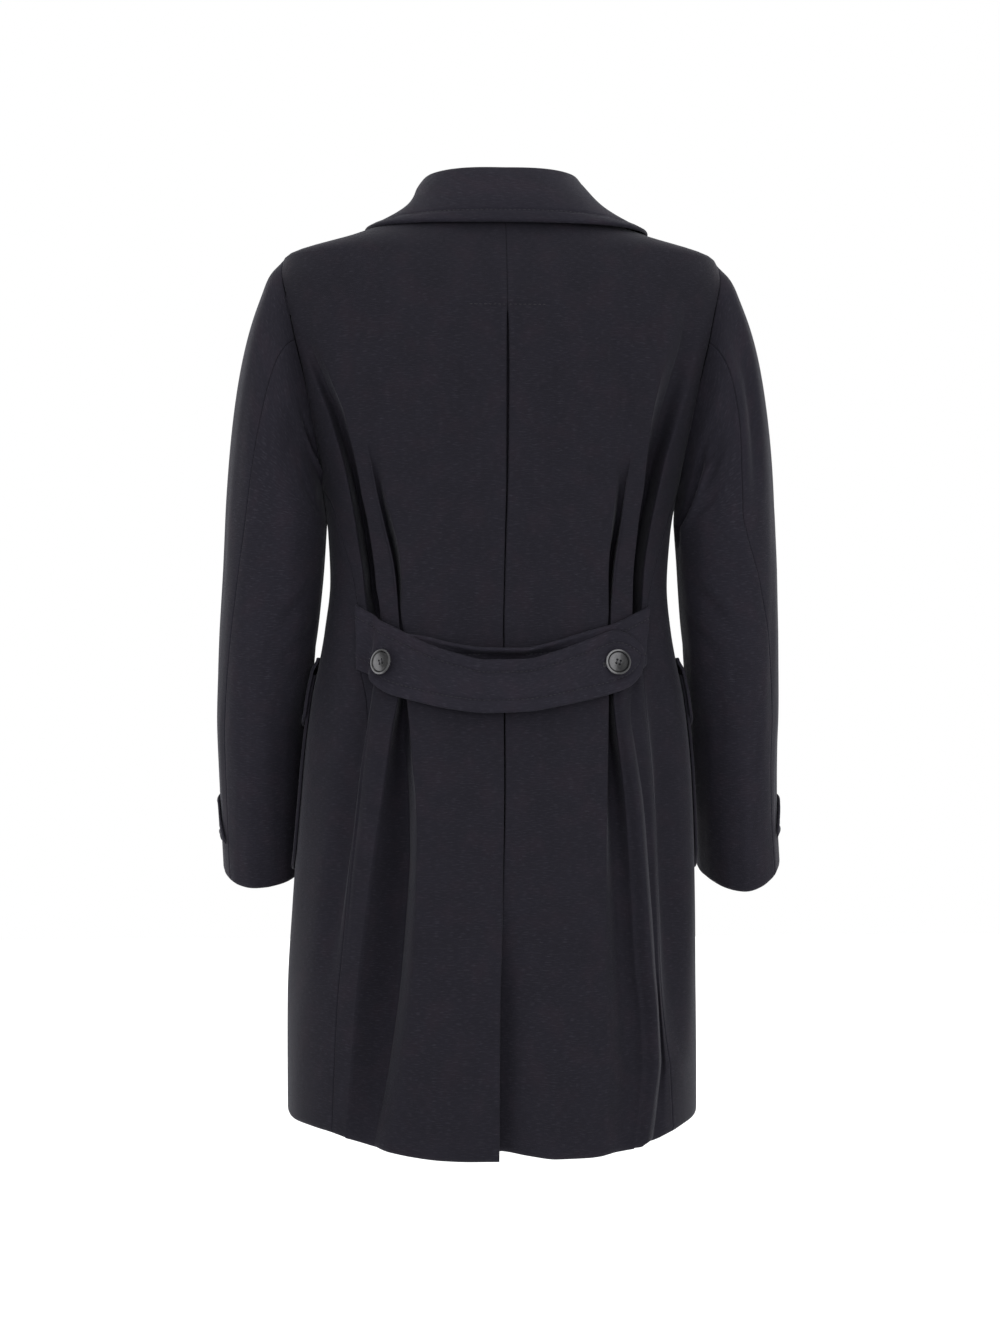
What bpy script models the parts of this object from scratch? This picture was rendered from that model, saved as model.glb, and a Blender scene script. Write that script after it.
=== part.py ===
"""Double-breasted overcoat with a half belt, filled out as if worn, with no wearer.

Metres, +Z up. The front faces -Y, the back faces +Y and the wearer's left is +X.
The origin is the middle of the neck seam, where the coat hangs on its wearer.
"""

import bmesh
import bpy
import numpy as np
from mathutils import Vector

# Cloth and seams
CLOTH = 0.0025
BELT_CLOTH = 0.0030
SEAM = 0.0004
CLEAR = 0.0006
PATCH_CLEAR = 0.0009
LAPEL_CLEAR = 0.0012
BEHIND = 0.0009
PROBE = 1e-4

# Body sections: half width, depth behind and before the neck's middle, and lean to the wearer's left
TORSO_COLUMNS = ("height", "half_width", "back", "front", "sway")
TORSO_ROWS = (
    (0.000, 0.0760, 0.0720, 0.0620, 0.0000),
    (-0.015, 0.1160, 0.0850, 0.0720, 0.0000),
    (-0.030, 0.1570, 0.0960, 0.0810, 0.0000),
    (-0.053, 0.2255, 0.1080, 0.0920, 0.0000),
    (-0.085, 0.2350, 0.1190, 0.1040, 0.0000),
    (-0.130, 0.2310, 0.1285, 0.1180, 0.0000),
    (-0.180, 0.2185, 0.1320, 0.1290, 0.0000),
    (-0.230, 0.2040, 0.1290, 0.1350, 0.0000),
    (-0.285, 0.1880, 0.1220, 0.1340, 0.0000),
    (-0.340, 0.1790, 0.1150, 0.1290, 0.0010),
    (-0.390, 0.1765, 0.1095, 0.1250, 0.0020),
    (-0.440, 0.1815, 0.1100, 0.1240, 0.0030),
    (-0.470, 0.1865, 0.1135, 0.1260, 0.0030),
    (-0.510, 0.1945, 0.1205, 0.1290, 0.0030),
    (-0.590, 0.2033, 0.1345, 0.1380, 0.0032),
    (-0.720, 0.2105, 0.1465, 0.1470, 0.0055),
    (-0.820, 0.2130, 0.1530, 0.1530, 0.0080),
    (-0.960, 0.2137, 0.1600, 0.1590, 0.0085),
)
BACK_SQUARENESS = 2.35
FRONT_SQUARENESS = 2.05

# Heights of the cloth rows that every body panel shares
ROWS = (0.0, -0.018, -0.036, -0.053, -0.075, -0.112, -0.143, -0.185, -0.225, -0.260, -0.285, -0.310,
        -0.345, -0.380, -0.415, -0.445, -0.482, -0.540, -0.610, -0.690, -0.775, -0.860, -0.943)
HEM = -0.943
HEM_DROP_FROM = -0.700

# How far the hem drops, by degrees from centre back, on the wearer's left and right
HEM_COLUMNS = ("angle", "left", "right")
HEM_ROWS = (
    (0.0, 0.0250, 0.0175),
    (10.0, 0.0250, 0.0205),
    (20.0, 0.0243, 0.0243),
    (30.0, 0.0213, 0.0243),
    (40.0, 0.0160, 0.0212),
    (50.0, 0.0085, 0.0152),
    (60.0, 0.0020, 0.0080),
    (70.0, 0.0000, 0.0030),
    (90.0, 0.0000, 0.0000),
)

# Armhole: an ellipse of heights about the side, with its reach in degrees behind and before it
ARMHOLE_MIDDLE = -0.169
ARMHOLE_HALF = 0.116
ARMHOLE_BACK = 15.5
ARMHOLE_FRONT = 17.0

# Side back seam, in degrees from centre back
SEAM_COLUMNS = ("height", "left", "right")
SEAM_ROWS = (
    (-0.285, 90.0, 90.0),
    (-0.310, 77.0, 78.0),
    (-0.354, 71.0, 72.0),
    (-0.390, 67.0, 68.5),
    (-0.415, 64.5, 66.0),
    (-0.480, 61.0, 63.0),
    (-0.512, 59.0, 61.0),
    (-0.610, 55.8, 58.3),
    (-0.750, 55.5, 58.2),
    (-0.860, 56.2, 59.6),
    (-0.943, 56.5, 60.5),
)

# Style lines of each back panel, in degrees, and how far each fold stands out of the body in metres
BACK_COLUMNS = ("height", "lip", "floor", "crest", "trough",
                "lip_out", "floor_out", "crest_out", "trough_out")
BACK_LEFT_ROWS = (
    (0.000, 22.0, 28.0, 40.0, 62.0, 0.0000, 0.0000, 0.0000, 0.0000),
    (-0.053, 30.0, 34.0, 46.0, 66.0, 0.0000, 0.0000, 0.0000, 0.0000),
    (-0.143, 42.0, 46.0, 55.0, 66.5, 0.0000, 0.0000, 0.0000, -0.0010),
    (-0.225, 50.0, 53.0, 58.5, 64.8, 0.0000, -0.0005, 0.0010, -0.0045),
    (-0.300, 53.6, 55.4, 59.8, 64.0, 0.0008, -0.0030, 0.0015, -0.0080),
    (-0.345, 51.0, 53.2, 58.3, 62.6, 0.0010, -0.0080, 0.0015, -0.0100),
    (-0.380, 48.4, 50.6, 56.6, 61.2, 0.0008, -0.0100, 0.0010, -0.0110),
    (-0.415, 46.4, 48.8, 54.6, 58.8, 0.0000, -0.0075, 0.0000, -0.0080),
    (-0.482, 43.0, 45.4, 52.0, 56.0, 0.0000, -0.0070, 0.0000, -0.0030),
    (-0.540, 38.4, 41.5, 50.2, 53.6, 0.0020, -0.0095, 0.0020, -0.0015),
    (-0.610, 35.2, 41.5, 49.6, 52.6, 0.0030, -0.0085, 0.0025, 0.0000),
    (-0.690, 33.0, 42.8, 49.8, 52.6, 0.0035, -0.0070, 0.0020, 0.0000),
    (-0.775, 33.0, 45.0, 50.6, 53.2, 0.0030, -0.0050, 0.0010, 0.0000),
    (-0.860, 35.2, 46.0, 51.6, 54.0, 0.0025, -0.0030, 0.0005, 0.0000),
    (-0.943, 37.6, 47.0, 52.0, 54.4, 0.0020, -0.0020, 0.0000, 0.0000),
)
BACK_RIGHT_ROWS = (
    (0.000, 22.0, 28.0, 40.0, 60.0, 0.0000, 0.0000, 0.0000, 0.0000),
    (-0.053, 30.0, 34.0, 46.0, 62.0, 0.0000, 0.0000, 0.0000, -0.0005),
    (-0.143, 40.0, 43.0, 50.0, 61.0, 0.0000, 0.0000, 0.0005, -0.0040),
    (-0.225, 46.0, 48.0, 53.0, 60.4, 0.0000, -0.0005, 0.0010, -0.0065),
    (-0.300, 47.4, 49.2, 54.0, 61.0, 0.0008, -0.0040, 0.0015, -0.0085),
    (-0.345, 47.6, 49.6, 54.6, 62.0, 0.0010, -0.0085, 0.0015, -0.0100),
    (-0.380, 47.8, 50.0, 55.0, 62.4, 0.0008, -0.0100, 0.0010, -0.0105),
    (-0.415, 47.8, 50.0, 55.0, 61.4, 0.0000, -0.0075, 0.0000, -0.0075),
    (-0.482, 45.6, 47.8, 53.4, 58.4, 0.0000, -0.0070, 0.0000, -0.0030),
    (-0.540, 43.2, 46.0, 53.0, 56.6, 0.0015, -0.0095, 0.0025, -0.0020),
    (-0.610, 40.8, 45.4, 53.2, 56.2, 0.0020, -0.0080, 0.0035, -0.0010),
    (-0.690, 38.6, 44.6, 54.2, 56.6, 0.0020, -0.0060, 0.0035, -0.0010),
    (-0.775, 36.4, 43.8, 55.0, 57.0, 0.0015, -0.0045, 0.0030, -0.0010),
    (-0.860, 35.6, 43.6, 55.6, 57.8, 0.0010, -0.0035, 0.0030, -0.0015),
    (-0.943, 35.0, 43.6, 55.6, 58.6, 0.0005, -0.0030, 0.0030, -0.0030),
)
BACK_SPLITS = (4, 1, 1, 1, 2)

# Centre back: half the opening of the pleat, and how far each vent edge stands out
CENTRE_COLUMNS = ("height", "opening", "left_out", "right_out")
CENTRE_ROWS = (
    (0.000, 0.0000, 0.0000, 0.0000),
    (-0.112, 0.0000, 0.0000, 0.0000),
    (-0.130, 0.0010, 0.0000, 0.0000),
    (-0.185, 0.0015, 0.0000, 0.0000),
    (-0.310, 0.0010, 0.0000, 0.0000),
    (-0.415, 0.0002, 0.0000, 0.0000),
    (-0.690, 0.0000, 0.0000, 0.0000),
    (-0.775, 0.0000, 0.0010, 0.0000),
    (-0.943, 0.0000, 0.0035, 0.0000),
)
UNDERLAY_TOP = -0.112
UNDERLAY_FOOT = -0.445
UNDERLAY_REACH = 17.0
UNDERLAP_TOP = -0.540
UNDERLAP_FOOT = -0.938
UNDERLAP_FROM = -4.0
UNDERLAP_TO = 14.0

# Front: overlap past the middle, where the lapel breaks, its roll line and how far the over front is lifted
LAP = 0.098
LAP_LIFT = 0.0055
LAP_LIFT_PART = 0.09
LAP_LIFT_TOP = -0.100
LAP_LIFT_FULL = -0.160
BREAK_HEIGHT = -0.360
ROLL_TOP_X = 0.0745
ROLL_TOP_HEIGHT = -0.003
FRONT_COLUMNS = ("height", "pocket_back", "pocket_front")
FRONT_ROWS = (
    (0.000, 95.0, 104.0),
    (-0.018, 97.0, 115.0),
    (-0.053, 100.0, 126.0),
    (-0.075, 105.0, 131.0),
    (-0.143, 112.0, 136.0),
    (-0.225, 111.0, 135.0),
    (-0.285, 98.0, 133.0),
    (-0.380, 88.0, 131.0),
    (-0.470, 84.0, 130.0),
    (-0.710, 84.0, 130.0),
    (-0.943, 86.0, 130.0),
)
FRONT_PLACES = (0.0, 1.0, 1.2, 1.4, 1.6, 1.8, 2.0, 2.09, 2.34, 2.57, 2.80, 3.0)

# Lapel outline on the front, from its break to the gorge: roll edge and outer edge
LAPEL_COLUMNS = ("along", "roll_x", "roll_height", "edge_x", "edge_height", "puff")
LAPEL_ROWS = (
    (0.00, -0.0905, -0.3470, -0.0780, -0.3480, 0.0000),
    (0.25, -0.0530, -0.2690, -0.0050, -0.2860, 0.0020),
    (0.50, -0.0130, -0.1860, 0.0700, -0.2180, 0.0035),
    (0.75, 0.0235, -0.1100, 0.1260, -0.1580, 0.0040),
    (1.00, 0.0500, -0.0560, 0.1580, -0.1130, 0.0030),
)
LAPEL_UNDER_FROM = 0.44
LAPEL_GAP = 0.0018

# Collar, from centre back (0) to its front end (1): neck seam, roll and outer edge
COLLAR_COLUMNS = ("turn", "seam_angle", "seam_height", "roll_height",
                  "edge_angle", "edge_height", "edge_out", "bulge_left", "bulge_right", "seam_out")
COLLAR_ROWS = (
    (0.00, 0.0, 0.0000, 0.0320, 0.0, -0.0305, 0.0075, 0.0025, 0.0025, 0.0007),
    (0.20, 30.0, 0.0000, 0.0325, 27.0, -0.0305, 0.0075, 0.0020, 0.0025, 0.0007),
    (0.40, 60.0, 0.0000, 0.0315, 57.0, -0.0285, 0.0065, -0.0040, -0.0010, 0.0007),
    (0.60, 90.0, 0.0000, 0.0260, 88.0, -0.0265, 0.0060, -0.0170, -0.0085, 0.0008),
    (0.75, 113.0, -0.0035, 0.0150, 108.0, -0.0370, 0.0065, -0.0010, 0.0000, 0.0012),
    (0.88, 133.0, -0.0180, -0.0050, 121.0, -0.0580, 0.0070, 0.0030, 0.0030, 0.0014),
    (1.00, 146.5, -0.0430, -0.0320, 130.0, -0.0800, 0.0070, 0.0030, 0.0030, 0.0014),
)
COLLAR_KNOTS = (0.0, 0.22, 0.36, 0.50, 0.75, 1.0)
COLLAR_ROLL = 0.0115

# Arm of the sleeve below the armhole: middle, half sizes of its rings, and how far the right one swings out
ARM_COLUMNS = ("height", "out", "forward", "half_width", "half_depth", "right_swing")
ARM_ROWS = (
    (-0.330, 0.2345, 0.0050, 0.0530, 0.0760, 0.0020),
    (-0.380, 0.2370, 0.0080, 0.0525, 0.0720, 0.0030),
    (-0.430, 0.2410, 0.0140, 0.0515, 0.0685, 0.0025),
    (-0.480, 0.2460, 0.0230, 0.0490, 0.0655, 0.0020),
    (-0.540, 0.2515, 0.0390, 0.0455, 0.0625, 0.0020),
    (-0.620, 0.2495, 0.0600, 0.0450, 0.0595, 0.0050),
    (-0.698, 0.2465, 0.0820, 0.0450, 0.0565, 0.0120),
)
CAP = 0.42
CAP_SEAM_BLEND = 0.10
CAP_FULLNESS = 0.80
UNDERARM_GAP = 0.0012
SLEEVE_COLUMNS = ("along", "back_seam", "front_seam")
SLEEVE_ROWS = (
    (0.00, 77.0, -118.9),
    (0.20, 71.0, -116.0),
    (0.42, 62.0, -112.0),
    (0.55, 50.0, -110.0),
    (0.70, 42.0, -108.0),
    (1.00, 40.0, -106.0),
)
SLEEVE_STEPS = (0.0, 0.05, 0.12, 0.20, 0.28, 0.35, 0.42, 0.50, 0.58, 0.66, 0.75, 0.84, 0.92, 1.0)

# Half belt: top and bottom edge and outer face of each strap, by degrees from centre back
BELT_COLUMNS = ("angle", "top", "bottom", "out")
BELT_OVER_ROWS = (
    (64.0, -0.4140, -0.4750, 0.0042),
    (54.0, -0.4290, -0.4920, 0.0085),
    (46.0, -0.4390, -0.5050, 0.0095),
    (36.0, -0.4520, -0.5125, 0.0100),
    (22.0, -0.4635, -0.5200, 0.0115),
    (8.0, -0.4705, -0.5235, 0.0130),
    (-8.0, -0.4700, -0.5225, 0.0130),
    (-24.0, -0.4610, -0.5165, 0.0115),
    (-38.0, -0.4495, -0.5090, 0.0100),
    (-50.0, -0.4405, -0.4985, 0.0092),
    (-58.0, -0.4435, -0.4850, 0.0085),
    (-62.0, -0.4530, -0.4740, 0.0080),
)
BELT_UNDER_ROWS = (
    (-65.8, -0.4155, -0.4720, 0.0036),
    (-58.0, -0.4240, -0.4830, 0.0042),
    (-50.0, -0.4335, -0.4920, 0.0046),
    (-38.0, -0.4420, -0.5000, 0.0050),
    (-24.0, -0.4515, -0.5080, 0.0055),
    (-8.0, -0.4585, -0.5120, 0.0060),
    (10.0, -0.4580, -0.5110, 0.0060),
    (24.0, -0.4535, -0.5060, 0.0055),
    (38.0, -0.4460, -0.4990, 0.0050),
    (48.0, -0.4430, -0.4930, 0.0046),
    (52.0, -0.4480, -0.4870, 0.0046),
)
BELT_STEPS = 18

# Patch pocket and its flap
POCKET_ROWS = (-0.690, -0.650, -0.610, -0.540, -0.482)
POCKET_ROUND = 0.020
POCKET_TOP_GAP = 0.004
FLAP_ROWS = (-0.540, -0.482, -0.468)
FLAP_ROUND = 0.012
FLAP_REACH = 1.0

# Cuff tab: where it lies on the sleeve, by degrees and by distance along it
TAB_FROM = -100.0
TAB_TO = 8.0
TAB_LOW = 0.934
TAB_HIGH = 0.872
TAB_TIP_LIFT = 0.0020
TAB_BUTTON_ANGLE = -40.0

# Buttons: turned profile as parts of the radius and thickness
BUTTON_PROFILE = ((0.0, 0.0), (0.94, 0.0), (1.0, 0.45), (0.90, 1.0), (0.70, 0.66), (0.0, 0.66))
BUTTON_STEPS = 18
BUTTON_LIFT = 0.0004
BELT_BUTTON_RADIUS = 0.0130
FRONT_BUTTON_RADIUS = 0.0140
CUFF_BUTTON_RADIUS = 0.0100
BUTTON_THICKNESS = 0.0042
BELT_BUTTONS = (("belt_button_left", 49.1, -0.4735), ("belt_button_right", -47.7, -0.4735))
FRONT_BUTTON_X = 0.072
FRONT_BUTTON_HEIGHTS = (-0.400, -0.510, -0.620)

# Colours
WOOL = (0.021, 0.020, 0.026, 1.0)
HORN = (0.012, 0.012, 0.014, 1.0)


class Curve:
    """A smooth curve through rows of a table that never swings past them, straight beyond its ends."""

    def __init__(self, places, values):
        order = np.argsort(places)
        self.places = np.array(places, float)[order]
        self.values = np.array(values, float)[order]
        rise = np.diff(self.values) / np.diff(self.places)
        before, after = rise[:-1], rise[1:]
        turning = before * after <= 0.0
        total = np.where(turning, 1.0, before + after)
        self.slopes = np.concatenate(
            (rise[:1], np.where(turning, 0.0, 2.0 * before * after / total), rise[-1:]))

    def __call__(self, at):
        beyond = np.asarray(at, float)
        at = np.clip(beyond, self.places[0], self.places[-1])
        row = np.clip(np.searchsorted(self.places, at) - 1, 0, len(self.places) - 2)
        gap = self.places[row + 1] - self.places[row]
        part = (at - self.places[row]) / gap
        ease = part * part * (3.0 - 2.0 * part)
        lead = part * (1.0 - part) ** 2 * self.slopes[row]
        trail = part * part * (1.0 - part) * self.slopes[row + 1]
        inside = self.values[row] * (1.0 - ease) + self.values[row + 1] * ease + gap * (lead - trail)
        return inside + (beyond - at) * np.where(beyond < at, self.slopes[0], self.slopes[-1])


def curves(columns, rows):
    """Each named column of a table as a curve over the first column."""
    data = np.array(rows, float)
    return {name: Curve(data[:, 0], data[:, index]) for index, name in enumerate(columns)}


TORSO = curves(TORSO_COLUMNS, TORSO_ROWS)
SEAMS = curves(SEAM_COLUMNS, SEAM_ROWS)
BACKS = {1: curves(BACK_COLUMNS, BACK_LEFT_ROWS), -1: curves(BACK_COLUMNS, BACK_RIGHT_ROWS)}
CENTRE = curves(CENTRE_COLUMNS, CENTRE_ROWS)
FRONT = curves(FRONT_COLUMNS, FRONT_ROWS)
LAPEL = curves(LAPEL_COLUMNS, LAPEL_ROWS)
HEM_DROP = curves(HEM_COLUMNS, HEM_ROWS)
COLLAR = curves(COLLAR_COLUMNS, COLLAR_ROWS)
ARM = curves(ARM_COLUMNS, ARM_ROWS)
SLEEVE = curves(SLEEVE_COLUMNS, SLEEVE_ROWS)
BELT_OVER = curves(BELT_COLUMNS, BELT_OVER_ROWS)
BELT_UNDER = curves(BELT_COLUMNS, BELT_UNDER_ROWS)


def smooth(part):
    """An eased step from 0 to 1."""
    part = np.clip(part, 0.0, 1.0)
    return part * part * (3.0 - 2.0 * part)


def unit(vectors):
    """Vectors of length one."""
    return vectors / np.linalg.norm(vectors, axis=-1, keepdims=True)


def torso(angle, height, out=0.0):
    """Points of the body's outer face, by degrees from centre back towards the wearer's left."""
    turn = np.radians(angle)
    across, along = np.sin(turn), np.cos(turn)
    behind = along > 0.0
    depth = np.where(behind, TORSO["back"](height), TORSO["front"](height))
    power = np.where(behind, BACK_SQUARENESS, FRONT_SQUARENESS)
    width = TORSO["half_width"](height)
    radius = (np.abs(across / width) ** power + np.abs(along / depth) ** power) ** (-1.0 / power) + out
    return np.stack((across * radius + TORSO["sway"](height), along * radius, height + 0.0 * radius), -1)


def torso_normal(angle, height):
    """Outward directions of the body's outer face."""
    turned = torso(angle + 0.1, height) - torso(angle - 0.1, height)
    raised = torso(angle, height + PROBE) - torso(angle, height - PROBE)
    return unit(np.cross(raised, turned))


def front_angle(x, height):
    """Degrees from centre back, through the left side, of a place on the front."""
    width = TORSO["half_width"](height)
    part = np.clip(1.0 - np.abs(x / width) ** FRONT_SQUARENESS, 0.0, 1.0)
    depth = TORSO["front"](height) * part ** (1.0 / FRONT_SQUARENESS)
    return np.degrees(np.arctan2(x, -depth)) % 360.0


def armhole_angle(height, reach):
    """Degrees from the side to the armhole edge at a height."""
    part = np.clip((height - ARMHOLE_MIDDLE) / ARMHOLE_HALF, -1.0, 1.0)
    return reach * np.sqrt(1.0 - part * part)


def side_edge(side, height, reach):
    """Degrees from centre back of a panel's side edge: shoulder seam, armhole, then side back seam."""
    seam = SEAMS["left" if side > 0 else "right"](height)
    upper = 90.0 + armhole_angle(height, reach)
    return np.where(height > ARMHOLE_MIDDLE - ARMHOLE_HALF, upper, seam)


def seam_degrees(radius):
    """Half the seam gap as an angle."""
    return np.degrees(0.5 * SEAM / radius)


def drop_hem(angle, height):
    """Heights with the hem lowered towards centre back, by degrees towards the wearer's left."""
    share = smooth((HEM_DROP_FROM - height) / (HEM_DROP_FROM - HEM))
    turned = np.minimum(np.abs(angle), HEM_ROWS[-1][0])
    drop = np.where(angle < 0.0, HEM_DROP["right"](turned), HEM_DROP["left"](turned))
    return height - drop * share


def between(lines, place, eased=False):
    """Values at places along an ordered set of style lines."""
    values = np.stack([line + 0.0 * place for line in lines])
    first = np.clip(np.floor(place).astype(int), 0, len(lines) - 2)
    part = place - first
    if eased:
        part = part * part * (3.0 - 2.0 * part)
    count = np.arange(len(place))
    return values[first, count] * (1.0 - part) + values[first + 1, count] * part


def split_lines(splits):
    """Column places with each gap between style lines split evenly."""
    places = [np.linspace(line, line + 1, count, endpoint=False) for line, count in enumerate(splits)]
    return np.concatenate(places + [np.array([len(splits)], float)])


def face_normals(face, columns, rows, sign):
    """Outward directions of a cloth face at its grid points."""
    along = face(columns + PROBE, rows) - face(columns - PROBE, rows)
    up = face(columns, rows + PROBE) - face(columns, rows - PROBE)
    return unit(np.cross(along, up)) * sign


def make_material(name, colour, roughness):
    """A plain surface of one colour."""
    material = bpy.data.materials.new(name)
    material.use_nodes = True
    shader = material.node_tree.nodes["Principled BSDF"]
    shader.inputs["Base Color"].default_value = colour
    shader.inputs["Roughness"].default_value = roughness
    shader.inputs["Metallic"].default_value = 0.0
    return material


def add_object(collection, name, mesh, colour, roughness):
    """A named object with a material of its own."""
    mesh.materials.append(make_material(name + "_surface", colour, roughness))
    piece = bpy.data.objects.new(name, mesh)
    collection.objects.link(piece)
    return piece


def cloth_wall(collection, name, columns, rows, face, sign, thickness=CLOTH, normals=None):
    """A closed cloth wall: a grid laid on a face and extruded through the cloth to its other side."""
    columns, rows = np.asarray(columns, float), np.asarray(rows, float)
    bm = bmesh.new()
    bmesh.ops.create_grid(bm, x_segments=len(columns) - 1, y_segments=len(rows) - 1, size=1.0)
    made = bmesh.ops.extrude_face_region(bm, geom=bm.faces[:], use_keep_orig=True)
    under = {item for item in made["geom"] if isinstance(item, bmesh.types.BMVert)}
    points = bm.verts[:]
    column = [round((vert.co.x + 1.0) / 2.0 * (len(columns) - 1)) for vert in points]
    row = [round((vert.co.y + 1.0) / 2.0 * (len(rows) - 1)) for vert in points]
    over_columns, over_rows = columns[column], rows[row]
    outer = face(over_columns, over_rows)
    outward = face_normals(face, over_columns, over_rows, sign)
    if normals:
        outward = normals(over_columns, over_rows, outward)
    inner = outer - thickness * outward
    for vert, place, lined in zip(points, outer, inner):
        vert.co = lined if vert in under else place
    bmesh.ops.recalc_face_normals(bm, faces=bm.faces[:])
    if bm.calc_volume(signed=True) < 0.0:
        bmesh.ops.reverse_faces(bm, faces=bm.faces[:])
    mesh = bpy.data.meshes.new(name)
    bm.to_mesh(mesh)
    bm.free()
    return add_object(collection, name, mesh, WOOL, 0.9)


def centre_edge(height):
    """Degrees from centre back to a back panel's centre edge."""
    radius = TORSO["back"](height)
    return seam_degrees(radius) + np.degrees(CENTRE["opening"](height) / radius)


def back_face(side):
    """One back panel, from centre back out to the side, with its tuck and folds."""
    lines = BACKS[side]
    centre_out = CENTRE["left_out" if side > 0 else "right_out"]

    def face(place, height):
        edge = side_edge(side, height, -ARMHOLE_BACK)
        last = edge - seam_degrees(TORSO["half_width"](height))
        names = ("lip", "floor", "crest", "trough")
        angles = [centre_edge(height)] + [lines[name](height) for name in names] + [last]
        outs = [centre_out(height)] + [lines[name + "_out"](height) for name in names] + [0.0]
        angle = between(angles, place)
        return torso(side * angle, drop_hem(side * angle, height), between(outs, place, eased=True))

    return face


def front_lift(side, angle, height):
    """How far a front stands out of the body: the over front passes over the under front."""
    if side < 0:
        return 0.0 * angle
    begin = FRONT["pocket_front"](height)
    part = (angle - begin) / (front_angle(roll_x(height), height) - begin)
    share = smooth((LAP_LIFT_TOP - height) / (LAP_LIFT_TOP - LAP_LIFT_FULL))
    return LAP_LIFT * share * smooth(part / LAP_LIFT_PART)


def roll_x(height):
    """How far from the middle the roll line of the lapel lies at a height."""
    part = (height - BREAK_HEIGHT) / (ROLL_TOP_HEIGHT - BREAK_HEIGHT)
    return np.where(part > 0.0, -LAP + (ROLL_TOP_X + LAP) * part, -LAP)


def front_face(side):
    """One front panel, from its side edge round to the roll line and the front edge."""

    def face(place, height):
        edge = side_edge(side, height, ARMHOLE_FRONT) + seam_degrees(TORSO["half_width"](height))
        opening = front_angle(roll_x(height), height)
        angle = between([edge, FRONT["pocket_back"](height), FRONT["pocket_front"](height), opening], place)
        lift = front_lift(side, angle, height)
        return torso(side * angle, drop_hem(side * angle, height), lift)

    return face


def strip_face(first, last, out):
    """A strip behind the centre back, between two angles."""

    def face(place, height):
        angle = first + (last - first) * place
        return torso(angle, drop_hem(-np.abs(angle), height), out)

    return face


def armhole_point(turn):
    """Place on the left armhole by degrees round the sleeve, from the shoulder towards the back."""
    height = ARMHOLE_MIDDLE + ARMHOLE_HALF * np.cos(np.radians(turn))
    lean = np.sin(np.radians(turn))
    reach = np.where(lean > 0.0, ARMHOLE_BACK, ARMHOLE_FRONT)
    return 90.0 - reach * lean, height


def arm_ring(side, turn, height):
    """Points of a ring round an arm, as on the left side, square to the arm's middle line."""
    slope = (ARM["forward"](height - PROBE) - ARM["forward"](height + PROBE)) / (2.0 * PROBE)
    tilt = np.arctan(slope)
    wide = ARM["half_width"](height) * np.cos(np.radians(turn))
    deep = ARM["half_depth"](height) * np.sin(np.radians(turn))
    out = ARM["out"](height) + (ARM["right_swing"](height) if side < 0 else 0.0)
    return np.stack((out + wide,
                     deep * np.cos(tilt) - ARM["forward"](height),
                     height - deep * np.sin(tilt)), -1)


def cap_direction(turn):
    """The way the cloth of the left sleeve leaves the armhole."""
    top = np.clip(np.cos(np.radians(turn)), 0.0, 1.0)[..., None]
    foot = np.clip(-np.cos(np.radians(turn)), 0.0, 1.0)[..., None]
    lean = np.sin(np.radians(turn))
    beside = np.abs(lean)[..., None]
    outward = np.stack((0.0 * lean + 0.75, 0.35 * np.sign(lean), 0.0 * lean - 0.55), -1)
    return unit(top * np.array((0.6, 0.0, -0.8)) + foot * np.array((0.5, 0.0, -0.87)) + beside * outward)


def sleeve_point(side, turn, along):
    """Points of a sleeve, as on the left side, by degrees round it and by share of its length."""
    top, bottom = ARM_ROWS[0][0], ARM_ROWS[-1][0]
    part = np.clip(along / CAP, 0.0, 1.0)[..., None]
    start = torso(*armhole_point(turn))
    leave = cap_direction(turn)
    foot = np.clip(-np.cos(np.radians(turn)), 0.0, 1.0)[..., None]
    start = start + SEAM * leave + UNDERARM_GAP * foot * np.array((1.0, 0.0, 0.0))
    finish = arm_ring(side, turn, top + 0.0 * turn)
    reach = CAP_FULLNESS * np.linalg.norm(finish - start, axis=-1, keepdims=True)
    arrive = reach * unit(arm_ring(side, turn, top - PROBE + 0.0 * turn) - finish)
    leave = reach * leave
    ease = part * part * (3.0 - 2.0 * part)
    cap = start * (1.0 - ease) + finish * ease
    cap = cap + part * (1.0 - part) ** 2 * leave - part * part * (1.0 - part) * arrive
    height = top + (bottom - top) * np.maximum(along - CAP, 0.0) / (1.0 - CAP)
    return np.where(along[..., None] > CAP, arm_ring(side, turn, height), cap)


def seam_turns():
    """Degrees round the sleeve of the body's cloth rows, from the shoulder down the back."""
    heights = np.array([row for row in ROWS if abs(row - ARMHOLE_MIDDLE) <= ARMHOLE_HALF + PROBE])
    part = np.clip((heights - ARMHOLE_MIDDLE) / ARMHOLE_HALF, -1.0, 1.0)
    return np.degrees(np.arccos(part))


def sleeve_columns(under):
    """Starting degrees of a sleeve piece's columns, set on the body's cloth rows."""
    turns = seam_turns()
    ring = np.concatenate((-turns[:0:-1], turns[:-1], 360.0 - turns[::-1]))
    first, last = SLEEVE_ROWS[0][2], SLEEVE_ROWS[0][1]
    low, high = (last, 360.0 + first) if under else (first, last)
    return ring[(ring > low - 1.0) & (ring < high + 1.0)]


def sleeve_turn(under, place, along):
    """Degrees round the sleeve of a column place, part of the way along."""
    starts = sleeve_columns(under)
    back, front = SLEEVE["back_seam"](along), SLEEVE["front_seam"](along)
    low, high = (back, 360.0 + front) if under else (front, back)
    part = place / (len(starts) - 1)
    begin = np.interp(place, np.arange(len(starts)), starts)
    inset = seam_degrees(0.055)
    turn = begin + (low + (high - low) * part - begin) * smooth(along / CAP)
    return turn + inset * (1.0 - 2.0 * part)


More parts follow.
